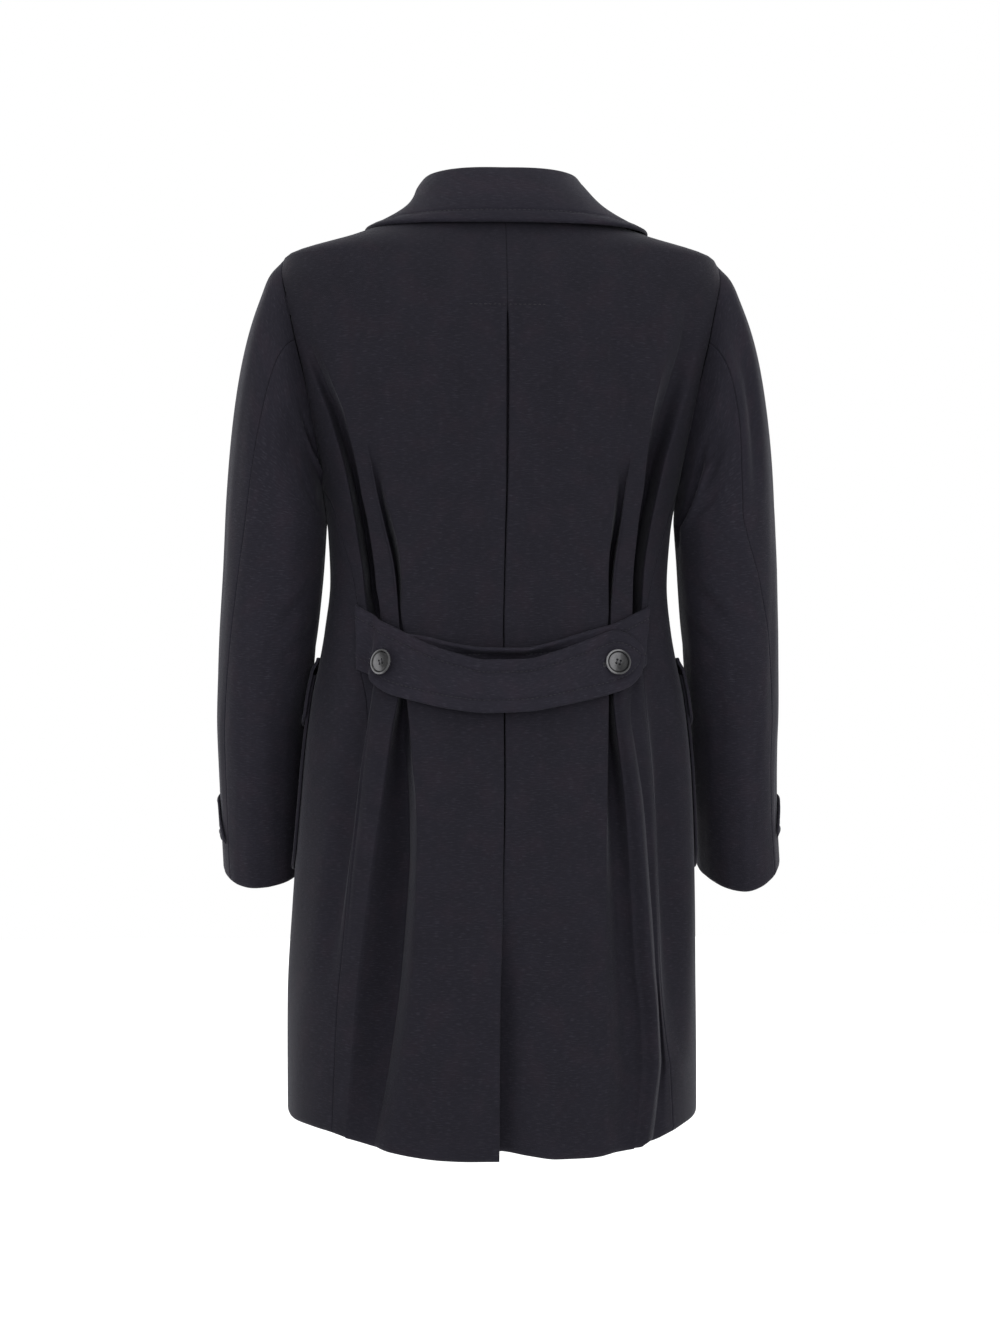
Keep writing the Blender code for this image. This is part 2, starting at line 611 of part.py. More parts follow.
def mirrored(points, side):
    """Points of the left side moved to the given side."""
    return points * np.array((side, 1.0, 1.0))


def sleeve_face(side, under):
    """One sleeve piece on its side of the coat."""

    def face(place, along):
        return mirrored(sleeve_point(side, sleeve_turn(under, place, along), along), side)

    return face


def sleeve_normals(side, under):
    """Sleeve directions that meet the shoulder's own where the two are sewn."""

    def normals(place, along, own):
        turn = sleeve_turn(under, place, along)
        body = mirrored(torso_normal(*armhole_point(turn)), side)
        share = smooth(np.cos(np.radians(turn)) * 1.6) * (1.0 - smooth(along / CAP_SEAM_BLEND))
        return unit(own + (body - own) * share[..., None])

    return normals


def spline(knots, points, place):
    """A smooth path through rows of points, at places along its knots."""
    knots = np.array(knots)
    slopes = np.empty_like(points)
    slopes[1:-1] = (points[2:] - points[:-2]) / (knots[2:] - knots[:-2])[:, None, None]
    slopes[0] = (points[1] - points[0]) / (knots[1] - knots[0])
    slopes[-1] = (points[-1] - points[-2]) / (knots[-1] - knots[-2])
    row = np.clip(np.searchsorted(knots, place) - 1, 0, len(knots) - 2)
    count = np.arange(len(place))
    gap = (knots[row + 1] - knots[row])[:, None]
    part = ((place - knots[row]) / (knots[row + 1] - knots[row]))[:, None]
    ease = part * part * (3.0 - 2.0 * part)
    path = points[row, count] * (1.0 - ease) + points[row + 1, count] * ease
    lead = part * (1.0 - part) ** 2 * slopes[row, count]
    trail = part * part * (1.0 - part) * slopes[row + 1, count]
    return path + gap * (lead - trail)


def collar_face(turn, across):
    """The collar, from its right front end (-1) to its left (1), up the stand and down the fall."""
    side, share = np.where(turn < 0.0, -1.0, 1.0), np.abs(turn)
    read = {name: COLLAR[name](share) for name in COLLAR_COLUMNS}
    seam_angle, edge_angle = side * read["seam_angle"], side * read["edge_angle"]
    seam = torso(seam_angle, read["seam_height"])
    seam = seam + read["seam_out"][..., None] * torso_normal(seam_angle, read["seam_height"])
    heading = np.radians(seam_angle)
    out = np.stack((np.sin(heading), np.cos(heading), 0.0 * heading), -1)
    up = np.array((0.0, 0.0, 1.0))
    rise = (read["roll_height"] - seam[..., 2])[..., None]
    stand = seam + 0.70 * rise * up + 0.0005 * out
    roll = seam + rise * up + 0.42 * COLLAR_ROLL * out
    fall = seam + 0.76 * rise * up + COLLAR_ROLL * out
    edge = torso(edge_angle, read["edge_height"])
    edge = edge + read["edge_out"][..., None] * torso_normal(edge_angle, read["edge_height"])
    bulge = np.where(turn < 0.0, read["bulge_right"], read["bulge_left"])[..., None]
    middle = 0.5 * (fall + edge) + bulge * out
    return spline(COLLAR_KNOTS, np.stack((seam, stand, roll, fall, middle, edge)), across)


def lapel_face(side, first):
    """A lapel turned out on its front, from the roll edge to its outer edge."""

    def face(place, along):
        read = {name: LAPEL[name](first + (1.0 - first) * along) for name in LAPEL_COLUMNS}
        start = np.zeros_like(place)
        if side < 0:
            slope = (ROLL_TOP_X + LAP) / (ROLL_TOP_HEIGHT - BREAK_HEIGHT)
            roll_side = read["roll_x"] + slope * (read["roll_height"] - BREAK_HEIGHT) - LAP - LAPEL_GAP
            edge_side = read["edge_x"] + slope * (read["edge_height"] - BREAK_HEIGHT) - LAP - LAPEL_GAP
            start = np.clip(-roll_side / (edge_side - roll_side), 0.0, 0.95)
        part = start + (1.0 - start) * place
        x = read["roll_x"] + (read["edge_x"] - read["roll_x"]) * part
        height = read["roll_height"] + (read["edge_height"] - read["roll_height"]) * part
        angle = front_angle(x, height)
        puff = read["puff"] * np.sin(np.pi * np.clip(part, 0.0, 1.0))
        lift = (LAP_LIFT if side > 0 else 0.0) + CLOTH + LAPEL_CLEAR + puff
        return torso(side * angle, height, lift)

    return face


def strap_face(table, first, last):
    """A strap across the back between two angles, from its lower edge to its upper edge."""

    def face(place, across):
        angle = first + (last - first) * place
        low, high = table["bottom"](angle), table["top"](angle)
        return torso(angle, low + (high - low) * across, table["out"](angle))

    return face


def pocket_columns():
    """Column places of the front panel that its pocket shares."""
    return [place for place in FRONT_PLACES if 1.0 <= place <= 2.0]


def patch_face(side, base, layers, top_gap, rounding, reach, flush):
    """A patch on a front, made from the front's own points moved out, with rounded lower corners."""

    def face(place, height):
        corner = np.clip(np.abs(2.0 * place - 3.0) - 0.6, 0.0, None) / 0.4
        share = np.clip((POCKET_ROWS[-1] - height) / (POCKET_ROWS[-1] - base), 0.0, 1.0)
        height = height + rounding * corner ** 2 * share ** 4 - top_gap * (1.0 - share)
        back, front = FRONT["pocket_back"](height), FRONT["pocket_front"](height)
        angle = back + (front - back) * (place - 1.0) + reach * (2.0 * place - 3.0)
        stack = layers - (layers - 1) * smooth((height - flush) / 0.012) if layers > 1 else layers
        lift = front_lift(side, angle, height) + stack * (CLOTH + PATCH_CLEAR)
        return torso(side * angle, height, lift)

    return face


def tab_face(side):
    """A cuff tab on the outside of a sleeve, from the front seam to its free end."""

    def face(place, across):
        turn = TAB_FROM + (TAB_TO - TAB_FROM) * place
        along = TAB_LOW + (TAB_HIGH - TAB_LOW) * across
        tip = TAB_TIP_LIFT * smooth((place - 0.75) / 0.25)
        on = sleeve_point(side, turn, along)
        round_it = sleeve_point(side, turn + 0.1, along) - sleeve_point(side, turn - 0.1, along)
        down_it = sleeve_point(side, turn, along + PROBE) - sleeve_point(side, turn, along - PROBE)
        outward = unit(np.cross(down_it, round_it))
        lift = (CLEAR + CLOTH + tip)[..., None]
        return mirrored(on + lift * outward, side)

    return face


def add_button(collection, name, place, outward, radius):
    """A turned button with a raised rim, facing outward from its seat."""
    bm = bmesh.new()
    profile = [bm.verts.new((reach * radius, 0.0, rise * BUTTON_THICKNESS)) for reach, rise in BUTTON_PROFILE]
    for first, second in zip(profile, profile[1:]):
        bm.edges.new((first, second))
    mesh = bpy.data.meshes.new(name)
    bm.to_mesh(mesh)
    bm.free()
    piece = add_object(collection, name, mesh, HORN, 0.35)
    turned = piece.modifiers.new("turned", "SCREW")
    turned.steps = BUTTON_STEPS
    turned.render_steps = BUTTON_STEPS
    turned.use_merge_vertices = True
    turned.merge_threshold = 0.00001
    turned.use_normal_calculate = True
    outward = Vector(outward)
    piece.matrix_world = outward.to_track_quat("Z", "Y").to_matrix().to_4x4()
    piece.matrix_world.translation = Vector(place) + BUTTON_LIFT * outward
    return piece


def seat_in_cell(face, columns, rows, column, row, sign):
    """A point and outward direction on the flat cell of a cloth grid that holds a place."""
    left = max(index for index, place in enumerate(columns) if place <= column)
    top = max(index for index, place in enumerate(rows) if place >= row)
    corners = np.array([(columns[left], rows[top]), (columns[left + 1], rows[top]),
                        (columns[left], rows[top + 1]), (columns[left + 1], rows[top + 1])])
    points = face(corners[:, 0], corners[:, 1])
    part = (column - columns[left]) / (columns[left + 1] - columns[left])
    down = (row - rows[top]) / (rows[top + 1] - rows[top])
    upper = points[0] * (1.0 - part) + points[1] * part
    lower = points[2] * (1.0 - part) + points[3] * part
    outward = unit(np.cross(points[3] - points[0], points[2] - points[1])) * sign
    return upper * (1.0 - down) + lower * down, outward


def seat_on(face, column, row, sign):
    """A point of a face and its outward direction."""
    at = np.array([column], float), np.array([row], float)
    return face(*at)[0], face_normals(face, *at, sign)[0]


def build_body(collection):
    """Back panels, fronts, and the strips behind the centre back."""
    behind = -(CLOTH + BEHIND)
    for side, hand in ((1, "left"), (-1, "right")):
        cloth_wall(collection, "back_" + hand, split_lines(BACK_SPLITS), ROWS, back_face(side), -side)
        cloth_wall(collection, "front_" + hand, FRONT_PLACES, (ROLL_TOP_HEIGHT,) + ROWS[1:],
                   front_face(side), -side)
    shared = [row for row in ROWS if UNDERLAY_FOOT < row < UNDERLAY_TOP]
    cloth_wall(collection, "pleat_underlay", np.linspace(0.0, 1.0, 5), [UNDERLAY_TOP] + shared + [UNDERLAY_FOOT],
               strip_face(-UNDERLAY_REACH, UNDERLAY_REACH, behind), -1)
    shared = [row for row in ROWS if UNDERLAP_FOOT < row < UNDERLAP_TOP]
    cloth_wall(collection, "vent_underlap", np.linspace(0.0, 1.0, 4), [UNDERLAP_TOP] + shared + [UNDERLAP_FOOT],
               strip_face(UNDERLAP_FROM, UNDERLAP_TO, behind), -1)


def build_sleeves(collection):
    """Upper and under sleeves, each with its cuff tab."""
    for side, hand in ((1, "left"), (-1, "right")):
        for under, name in ((False, "sleeve_upper_"), (True, "sleeve_under_")):
            columns = np.arange(len(sleeve_columns(under)))
            cloth_wall(collection, name + hand, columns, SLEEVE_STEPS, sleeve_face(side, under), -side,
                       normals=sleeve_normals(side, under))
        tab = tab_face(side)
        cloth_wall(collection, "cuff_tab_" + hand, np.linspace(0.0, 1.0, 9), np.linspace(0.0, 1.0, 3), tab, side)
        share = (TAB_BUTTON_ANGLE - TAB_FROM) / (TAB_TO - TAB_FROM)
        seat = seat_on(tab, share, 0.5, side)
        add_button(collection, "cuff_button_" + hand, *seat, CUFF_BUTTON_RADIUS)


def build_collar(collection):
    """Collar and lapels."""
    cloth_wall(collection, "collar", np.linspace(-1.0, 1.0, 25),
               (0.0, 0.20, 0.29, 0.36, 0.43, 0.50, 0.66, 0.83, 1.0), collar_face, 1)
    for side, hand, first in ((1, "left", 0.0), (-1, "right", LAPEL_UNDER_FROM)):
        cloth_wall(collection, "lapel_" + hand, np.linspace(0.0, 1.0, 6), np.linspace(0.0, 1.0, 9),
                   lapel_face(side, first), side)


def build_belt(collection):
    """Both straps of the half belt and their buttons."""
    straps = (("belt_over", BELT_OVER, BELT_OVER_ROWS, BELT_CLOTH),
              ("belt_under", BELT_UNDER, BELT_UNDER_ROWS, CLOTH))
    for name, table, rows, thickness in straps:
        angles = [row[0] for row in rows]
        face = strap_face(table, min(angles), max(angles))
        cloth_wall(collection, name, np.linspace(0.0, 1.0, BELT_STEPS + 1), (0.0, 0.5, 1.0), face, -1, thickness)
    ends = [row[0] for row in BELT_OVER_ROWS]
    over = strap_face(BELT_OVER, min(ends), max(ends))
    for name, angle, height in BELT_BUTTONS:
        low, high = BELT_OVER["bottom"](angle), BELT_OVER["top"](angle)
        column = (angle - min(ends)) / (max(ends) - min(ends))
        add_button(collection, name, *seat_on(over, column, (height - low) / (high - low), -1), BELT_BUTTON_RADIUS)


def build_pockets(collection):
    """Patch pockets with their flaps."""
    for side, hand in ((1, "left"), (-1, "right")):
        pocket = patch_face(side, POCKET_ROWS[0], 1, POCKET_TOP_GAP, POCKET_ROUND, 0.0, 0.0)
        cloth_wall(collection, "pocket_" + hand, pocket_columns(), POCKET_ROWS, pocket, -side)
        flap = patch_face(side, FLAP_ROWS[0], 2, 0.0, FLAP_ROUND, FLAP_REACH, FLAP_ROWS[1])
        cloth_wall(collection, "pocket_flap_" + hand, pocket_columns(), FLAP_ROWS, flap, -side)


def build_front_buttons(collection):
    """Two columns of buttons on the over front."""
    rows = (ROLL_TOP_HEIGHT,) + ROWS[1:]
    number = 1
    for height in FRONT_BUTTON_HEIGHTS:
        for x in (FRONT_BUTTON_X, -FRONT_BUTTON_X):
            begin = FRONT["pocket_front"](height)
            place = 2.0 + (front_angle(x, height) - begin) / (front_angle(-LAP, height) - begin)
            seat = seat_in_cell(front_face(1), FRONT_PLACES, rows, place, height, 1)
            add_button(collection, "front_button_%d" % number, *seat, FRONT_BUTTON_RADIUS)
            number += 1


def main():
    """Clear the scene and build the coat."""
    for item in list(bpy.data.objects):
        bpy.data.objects.remove(item, do_unlink=True)
    collection = bpy.data.collections.new("double_breasted_coat")
    bpy.context.scene.collection.children.link(collection)
    build_body(collection)
    build_sleeves(collection)
    build_collar(collection)
    build_belt(collection)
    build_pockets(collection)
    build_front_buttons(collection)


main()
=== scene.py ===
"""Looks of a double-breasted wool overcoat with a half belt, filled out as if worn, with no wearer.

Laid out as a Blender add-on: sizes and colours are properties, and each group of like pieces is an operator.
Metres, +Z up. The coat's back faces +Y, its front -Y, and the wearer's left is +X.
"""

import bmesh
import bpy
import numpy as np
from bpy.props import FloatProperty, FloatVectorProperty, IntProperty, PointerProperty
from bpy.types import Operator, Panel, PropertyGroup
from mathutils import Matrix, Vector


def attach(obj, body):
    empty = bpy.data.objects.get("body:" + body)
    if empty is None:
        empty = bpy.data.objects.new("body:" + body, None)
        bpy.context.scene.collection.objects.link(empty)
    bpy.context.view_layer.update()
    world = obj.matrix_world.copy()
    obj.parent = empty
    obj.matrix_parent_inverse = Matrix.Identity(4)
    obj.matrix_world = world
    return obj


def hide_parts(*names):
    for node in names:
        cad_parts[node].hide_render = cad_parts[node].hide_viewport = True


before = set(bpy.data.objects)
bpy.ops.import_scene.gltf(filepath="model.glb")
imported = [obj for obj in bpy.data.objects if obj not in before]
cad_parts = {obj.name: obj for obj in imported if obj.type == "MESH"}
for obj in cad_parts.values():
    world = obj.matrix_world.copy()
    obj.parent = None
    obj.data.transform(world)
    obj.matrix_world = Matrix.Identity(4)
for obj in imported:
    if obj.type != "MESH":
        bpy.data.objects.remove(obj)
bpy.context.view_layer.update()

bl_info = {
    "name": "Double-breasted overcoat",
    "version": (1, 0, 0),
    "blender": (4, 5, 0),
    "location": "3D View > Sidebar > Coat",
    "description": "Builds the cloth, stitching, buttons and studio of a half-belted overcoat",
    "category": "Add Mesh",
}

ROOT = "root"
WOOL_SLOT = "wool"
BUTTON_SLOT = "button"
CLOTH_MAP = "cloth"
BUTTON_MAP = "button"

# Sides of the coat: their sign on X, their names, and their angle from centre back in degrees
HANDS = {1: "left", -1: "right"}
SIDE_ANGLE = 90.0

# Cloth, the gap at its seams, below zero because panels meet there, and the gaps between its layers
CLOTH = 0.0025
SEAM = -0.0002
CLEAR = 0.0006
PATCH_CLEAR = 0.0009
LAPEL_CLEAR = 0.0012

# Small steps from which directions are measured, the second in degrees
PROBE = 1e-4
PROBE_TURN = 0.1

# Body sections: half width, depth behind and before the neck's middle, and lean to the wearer's left
TORSO_COLUMNS = ("height", "half_width", "back", "front", "sway")
TORSO_ROWS = (
    (0.000, 0.0760, 0.0720, 0.0620, 0.0000),
    (-0.015, 0.1160, 0.0850, 0.0720, 0.0000),
    (-0.030, 0.1570, 0.0960, 0.0810, 0.0000),
    (-0.053, 0.2255, 0.1080, 0.0920, 0.0000),
    (-0.085, 0.2350, 0.1190, 0.1040, 0.0000),
    (-0.130, 0.2310, 0.1285, 0.1180, 0.0000),
    (-0.180, 0.2185, 0.1320, 0.1290, 0.0000),
    (-0.230, 0.2040, 0.1290, 0.1350, 0.0000),
    (-0.285, 0.1880, 0.1220, 0.1340, 0.0000),
    (-0.340, 0.1790, 0.1150, 0.1290, 0.0010),
    (-0.390, 0.1765, 0.1095, 0.1250, 0.0020),
    (-0.440, 0.1815, 0.1100, 0.1240, 0.0030),
    (-0.470, 0.1865, 0.1135, 0.1260, 0.0030),
    (-0.510, 0.1945, 0.1205, 0.1290, 0.0030),
    (-0.590, 0.2033, 0.1345, 0.1380, 0.0032),
    (-0.720, 0.2105, 0.1465, 0.1470, 0.0055),
    (-0.820, 0.2130, 0.1530, 0.1530, 0.0080),
    (-0.960, 0.2137, 0.1600, 0.1590, 0.0085),
)
BACK_SQUARENESS = 2.35
FRONT_SQUARENESS = 2.05

# Hem: its height at the sides, and where its drop towards centre back begins
HEM = -0.943
HEM_DROP_FROM = -0.700

# How far the hem drops, by degrees from centre back, on the wearer's left and right
HEM_COLUMNS = ("angle", "left", "right")
HEM_ROWS = (
    (0.0, 0.0250, 0.0175),
    (10.0, 0.0250, 0.0205),
    (20.0, 0.0243, 0.0243),
    (30.0, 0.0213, 0.0243),
    (40.0, 0.0160, 0.0212),
    (50.0, 0.0085, 0.0152),
    (60.0, 0.0020, 0.0080),
    (70.0, 0.0000, 0.0030),
    (90.0, 0.0000, 0.0000),
)

# Armhole: an ellipse of heights about the side, with its reach in degrees behind and before it
ARMHOLE_MIDDLE = -0.169
ARMHOLE_HALF = 0.116
ARMHOLE_BACK = 15.5
ARMHOLE_FRONT = 17.0

# Side back seam, in degrees from centre back
SEAM_COLUMNS = ("height", "left", "right")
SEAM_ROWS = (
    (-0.285, 90.0, 90.0),
    (-0.310, 77.0, 78.0),
    (-0.354, 71.0, 72.0),
    (-0.390, 67.0, 68.5),
    (-0.415, 64.5, 66.0),
    (-0.480, 61.0, 63.0),
    (-0.512, 59.0, 61.0),
    (-0.610, 55.8, 58.3),
    (-0.750, 55.5, 58.2),
    (-0.860, 56.2, 59.6),
    (-0.943, 56.5, 60.5),
)

# Style lines of each back panel, in degrees, and how far each stands out towards the back in metres. The
# centre panel ends at its lip and falls to the floor of the tuck. A strip rises from it to a crest, and
# beyond that the cloth falls to a trough and comes to rest on the body
BACK_COLUMNS = ("height", "lip", "floor", "strip", "crest", "trough", "rest",
                "lip_out", "floor_out", "strip_out", "crest_out", "trough_out")
BACK_LEFT_ROWS = (
    (0.000, 22.0, 28.0, 34.0, 44.0, 62.0, 76.0, 0.0000, 0.0000, 0.0000, 0.0000, 0.0000),
    (-0.053, 30.0, 34.0, 40.0, 52.0, 68.0, 80.0, 0.0000, 0.0000, 0.0000, 0.0000, 0.0000),
    (-0.143, 43.0, 47.0, 52.0, 66.8, 69.0, 74.0, 0.0000, 0.0000, 0.0000, 0.0004, -0.0040),
    (-0.185, 47.0, 50.5, 54.5, 63.8, 65.8, 70.6, 0.0000, 0.0000, 0.0000, 0.0008, -0.0140),
    (-0.225, 49.5, 52.5, 55.2, 61.2, 62.9, 67.6, 0.0000, -0.0002, 0.0003, 0.0012, -0.0200),
    (-0.260, 51.0, 53.3, 54.8, 60.8, 62.2, 66.4, 0.0000, -0.0015, 0.0006, 0.0014, -0.0260),
    (-0.300, 50.8, 52.8, 54.0, 60.5, 61.8, 65.8, 0.0000, -0.0080, 0.0010, 0.0015, -0.0340),
    (-0.330, 49.2, 51.4, 52.6, 59.2, 60.5, 65.2, 0.0000, -0.0190, 0.0012, 0.0015, -0.0400),
    (-0.360, 47.7, 49.6, 50.8, 58.2, 59.5, 64.2, 0.0003, -0.0330, 0.0014, 0.0015, -0.0420),
    (-0.390, 47.4, 48.6, 49.5, 57.4, 58.7, 62.8, 0.0006, -0.0340, 0.0012, 0.0012, -0.0400),
    (-0.418, 47.2, 47.7, 48.2, 56.0, 57.3, 61.2, 0.0003, -0.0140, 0.0006, 0.0008, -0.0300),
    (-0.445, 45.6, 46.2, 47.0, 54.8, 56.2, 59.6, 0.0000, -0.0060, 0.0000, 0.0000, -0.0160),
    (-0.482, 43.6, 44.4, 45.6, 50.5, 54.6, 58.0, 0.0000, -0.0120, -0.0010, 0.0000, -0.0040),
    (-0.510, 41.9, 42.9, 45.0, 50.6, 53.4, 57.0, 0.0008, -0.0260, 0.0005, 0.0010, -0.0015),
    (-0.540, 39.4, 41.4, 45.8, 51.0, 53.6, 56.2, 0.0020, -0.0290, 0.0008, 0.0022, -0.0020),
    (-0.575, 37.0, 38.8, 46.0, 50.9, 53.4, 55.4, 0.0028, -0.0320, 0.0006, 0.0026, -0.0025),
    (-0.610, 34.8, 37.0, 46.6, 51.2, 53.4, 54.8, 0.0032, -0.0330, 0.0004, 0.0026, -0.0025),
    (-0.690, 32.2, 35.0, 48.0, 52.8, 53.9, 54.8, 0.0036, -0.0370, 0.0002, 0.0014, -0.0010),
    (-0.775, 31.2, 35.2, 49.2, 53.0, 54.0, 54.8, 0.0036, -0.0370, 0.0000, 0.0004, 0.0000),
    (-0.860, 33.0, 37.8, 50.4, 53.4, 54.2, 55.0, 0.0032, -0.0300, 0.0000, 0.0000, 0.0000),
    (-0.943, 37.0, 42.4, 51.8, 53.6, 54.4, 55.4, 0.0020, -0.0140, 0.0000, 0.0000, 0.0000),
)
BACK_RIGHT_ROWS = (
    (0.000, 22.0, 28.0, 34.0, 44.0, 60.0, 76.0, 0.0000, 0.0000, 0.0000, 0.0000, 0.0000),
    (-0.053, 30.0, 34.0, 40.0, 52.0, 64.0, 80.0, 0.0000, 0.0000, 0.0000, 0.0000, 0.0000),
    (-0.120, 36.0, 40.0, 45.0, 59.7, 64.4, 74.0, 0.0000, -0.0010, 0.0000, 0.0000, -0.0040),
    (-0.143, 38.0, 42.0, 46.0, 59.2, 63.6, 72.0, 0.0000, -0.0020, 0.0000, 0.0004, -0.0090),
    (-0.185, 40.5, 44.0, 48.0, 57.0, 61.2, 69.6, 0.0000, -0.0030, 0.0003, 0.0010, -0.0190),
    (-0.225, 43.0, 46.5, 50.0, 56.2, 60.2, 68.0, 0.0000, -0.0025, 0.0005, 0.0012, -0.0270),
    (-0.260, 45.4, 48.0, 51.0, 57.2, 60.4, 66.6, 0.0000, -0.0015, 0.0008, 0.0014, -0.0310),
    (-0.300, 46.8, 49.2, 50.9, 58.5, 60.8, 65.8, 0.0000, -0.0080, 0.0012, 0.0015, -0.0350),
    (-0.330, 47.6, 49.8, 51.2, 58.7, 60.5, 65.2, 0.0000, -0.0190, 0.0014, 0.0015, -0.0390),
    (-0.360, 48.2, 49.9, 51.0, 59.0, 60.6, 64.6, 0.0003, -0.0330, 0.0014, 0.0015, -0.0400),
    (-0.390, 48.8, 50.0, 50.8, 59.2, 60.7, 64.4, 0.0006, -0.0330, 0.0012, 0.0012, -0.0380),
    (-0.418, 48.9, 49.4, 49.9, 58.8, 60.1, 63.6, 0.0003, -0.0140, 0.0006, 0.0008, -0.0300),
    (-0.445, 48.0, 48.6, 49.4, 57.8, 59.3, 62.2, 0.0000, -0.0060, 0.0000, 0.0000, -0.0160),
    (-0.482, 46.4, 47.0, 48.2, 53.2, 57.0, 60.8, 0.0000, -0.0120, -0.0010, 0.0005, -0.0040),
    (-0.510, 45.0, 45.6, 46.8, 50.2, 53.4, 58.6, 0.0006, -0.0260, -0.0020, 0.0016, -0.0050),
    (-0.540, 43.2, 44.2, 46.2, 49.6, 51.8, 57.4, 0.0012, -0.0300, -0.0025, 0.0030, -0.0030),
    (-0.575, 41.4, 43.0, 46.0, 49.9, 52.0, 56.6, 0.0016, -0.0260, -0.0030, 0.0055, -0.0030),
    (-0.610, 40.1, 42.4, 46.2, 50.6, 52.7, 56.4, 0.0018, -0.0220, -0.0030, 0.0075, -0.0030),
    (-0.690, 38.1, 42.2, 46.6, 51.4, 53.5, 56.4, 0.0016, -0.0160, -0.0030, 0.0095, -0.0030),
    (-0.775, 36.8, 42.6, 47.4, 52.9, 55.0, 57.0, 0.0012, -0.0150, -0.0030, 0.0105, -0.0030),
    (-0.820, 36.9, 43.6, 48.8, 54.4, 56.4, 57.8, 0.0010, -0.0140, -0.0030, 0.0105, -0.0050),
    (-0.860, 37.0, 43.8, 49.0, 54.6, 56.6, 58.2, 0.0008, -0.0125, -0.0025, 0.0100, -0.0055),
    (-0.905, 36.0, 42.4, 47.2, 52.0, 54.4, 57.8, 0.0006, -0.0090, -0.0015, 0.0080, -0.0040),
    (-0.943, 35.0, 41.0, 45.4, 49.4, 52.0, 57.0, 0.0005, -0.0060, -0.0010, 0.0050, -0.0030),
)

# Centre back: half the opening of the pleat, and how far the left vent edge stands out
CENTRE_COLUMNS = ("height", "opening", "left_out")
CENTRE_ROWS = (
    (0.000, 0.0000, 0.0000),
    (-0.112, 0.0000, 0.0000),
    (-0.130, 0.0010, 0.0000),
    (-0.185, 0.0015, 0.0000),
    (-0.310, 0.0010, 0.0000),
    (-0.415, 0.0006, 0.0000),
    (-0.510, 0.0008, 0.0000),
    (-0.690, 0.0008, 0.0004),
    (-0.775, 0.0006, 0.0012),
    (-0.943, 0.0003, 0.0035),
)

# Strips behind the centre back: their ends, their reach in degrees, and how far inside the body they lie
UNDERLAY_TOP = -0.112
UNDERLAY_FOOT = -0.445
UNDERLAY_REACH = 17.0
UNDERLAY_BEHIND = 0.0080
UNDERLAP_BEHIND = 0.0200
UNDERLAP_TOP = -0.470
UNDERLAP_FOOT = -0.938
UNDERLAP_FROM = -4.0
UNDERLAP_TO = 14.0

# Front: overlap past the middle, where the lapel breaks, its roll line and how far the over front is lifted
LAP = 0.098
LAP_LIFT = 0.0055
LAP_LIFT_PART = 0.09
LAP_LIFT_TOP = -0.100
LAP_LIFT_FULL = -0.160
BREAK_HEIGHT = -0.360
ROLL_TOP_X = 0.0745
ROLL_TOP_HEIGHT = -0.003
ROLL_EASE = 0.02
FRONT_COLUMNS = ("height", "pocket_back", "pocket_front")
FRONT_ROWS = (
    (0.000, 95.0, 104.0),
    (-0.018, 97.0, 115.0),
    (-0.053, 100.0, 126.0),
    (-0.075, 105.0, 131.0),
    (-0.143, 112.0, 136.0),
    (-0.225, 111.0, 135.0),
    (-0.285, 98.0, 133.0),
    (-0.380, 88.0, 131.0),
    (-0.470, 84.0, 130.0),
    (-0.710, 84.0, 130.0),
    (-0.943, 86.0, 130.0),
)

# Lapel outline on the front, from its break to the gorge: roll edge and outer edge
LAPEL_COLUMNS = ("along", "roll_x", "roll_height", "edge_x", "edge_height", "puff")
LAPEL_ROWS = (
    (0.00, -0.0905, -0.3470, -0.0780, -0.3480, 0.0000),
    (0.25, -0.0530, -0.2690, -0.0050, -0.2860, 0.0020),
    (0.50, -0.0130, -0.1860, 0.0700, -0.2180, 0.0035),
    (0.75, 0.0235, -0.1100, 0.1260, -0.1580, 0.0040),
    (1.00, 0.0500, -0.0560, 0.1580, -0.1130, 0.0030),
)
LAPEL_UNDER_FROM = 0.44
LAPEL_GAP = 0.0018
LAPEL_MOST_HIDDEN = 0.95

# Collar, from centre back (0) to its front end (1): neck seam, roll and outer edge
COLLAR_COLUMNS = ("turn", "seam_angle", "seam_height", "roll_height",
                  "edge_angle", "edge_height", "edge_out", "bulge_left", "bulge_right", "seam_out")
COLLAR_ROWS = (
    (0.00, 0.0, 0.0000, 0.0320, 0.0, -0.0305, 0.0075, 0.0025, 0.0025, 0.0007),
    (0.20, 30.0, 0.0000, 0.0325, 27.0, -0.0305, 0.0075, 0.0020, 0.0025, 0.0007),
    (0.40, 60.0, 0.0000, 0.0315, 57.0, -0.0285, 0.0065, -0.0040, -0.0030, 0.0007),
    (0.60, 90.0, 0.0000, 0.0260, 88.0, -0.0265, 0.0060, -0.0170, -0.0150, 0.0008),
    (0.75, 113.0, -0.0035, 0.0150, 108.0, -0.0370, 0.0065, -0.0010, 0.0000, 0.0012),
    (0.88, 133.0, -0.0180, -0.0050, 121.0, -0.0580, 0.0070, 0.0030, 0.0030, 0.0014),
    (1.00, 146.5, -0.0430, -0.0320, 130.0, -0.0800, 0.0070, 0.0030, 0.0030, 0.0014),
)
COLLAR_KNOTS = (0.0, 0.22, 0.36, 0.50, 0.75, 1.0)
COLLAR_ROLL = 0.0115
STAND_RISE = 0.70
STAND_OUT = 0.0005
ROLL_OUT = 0.42
FALL_RISE = 0.76

# How far the collar's fall sways to the right, and hangs lower on the left and on the right
COLLAR_SWAY = 0.0062
COLLAR_SWAY_TO = 0.75
COLLAR_LOW = (0.0020, 0.0045)
COLLAR_LOW_AT = 0.62
COLLAR_LOW_HALF = 0.22

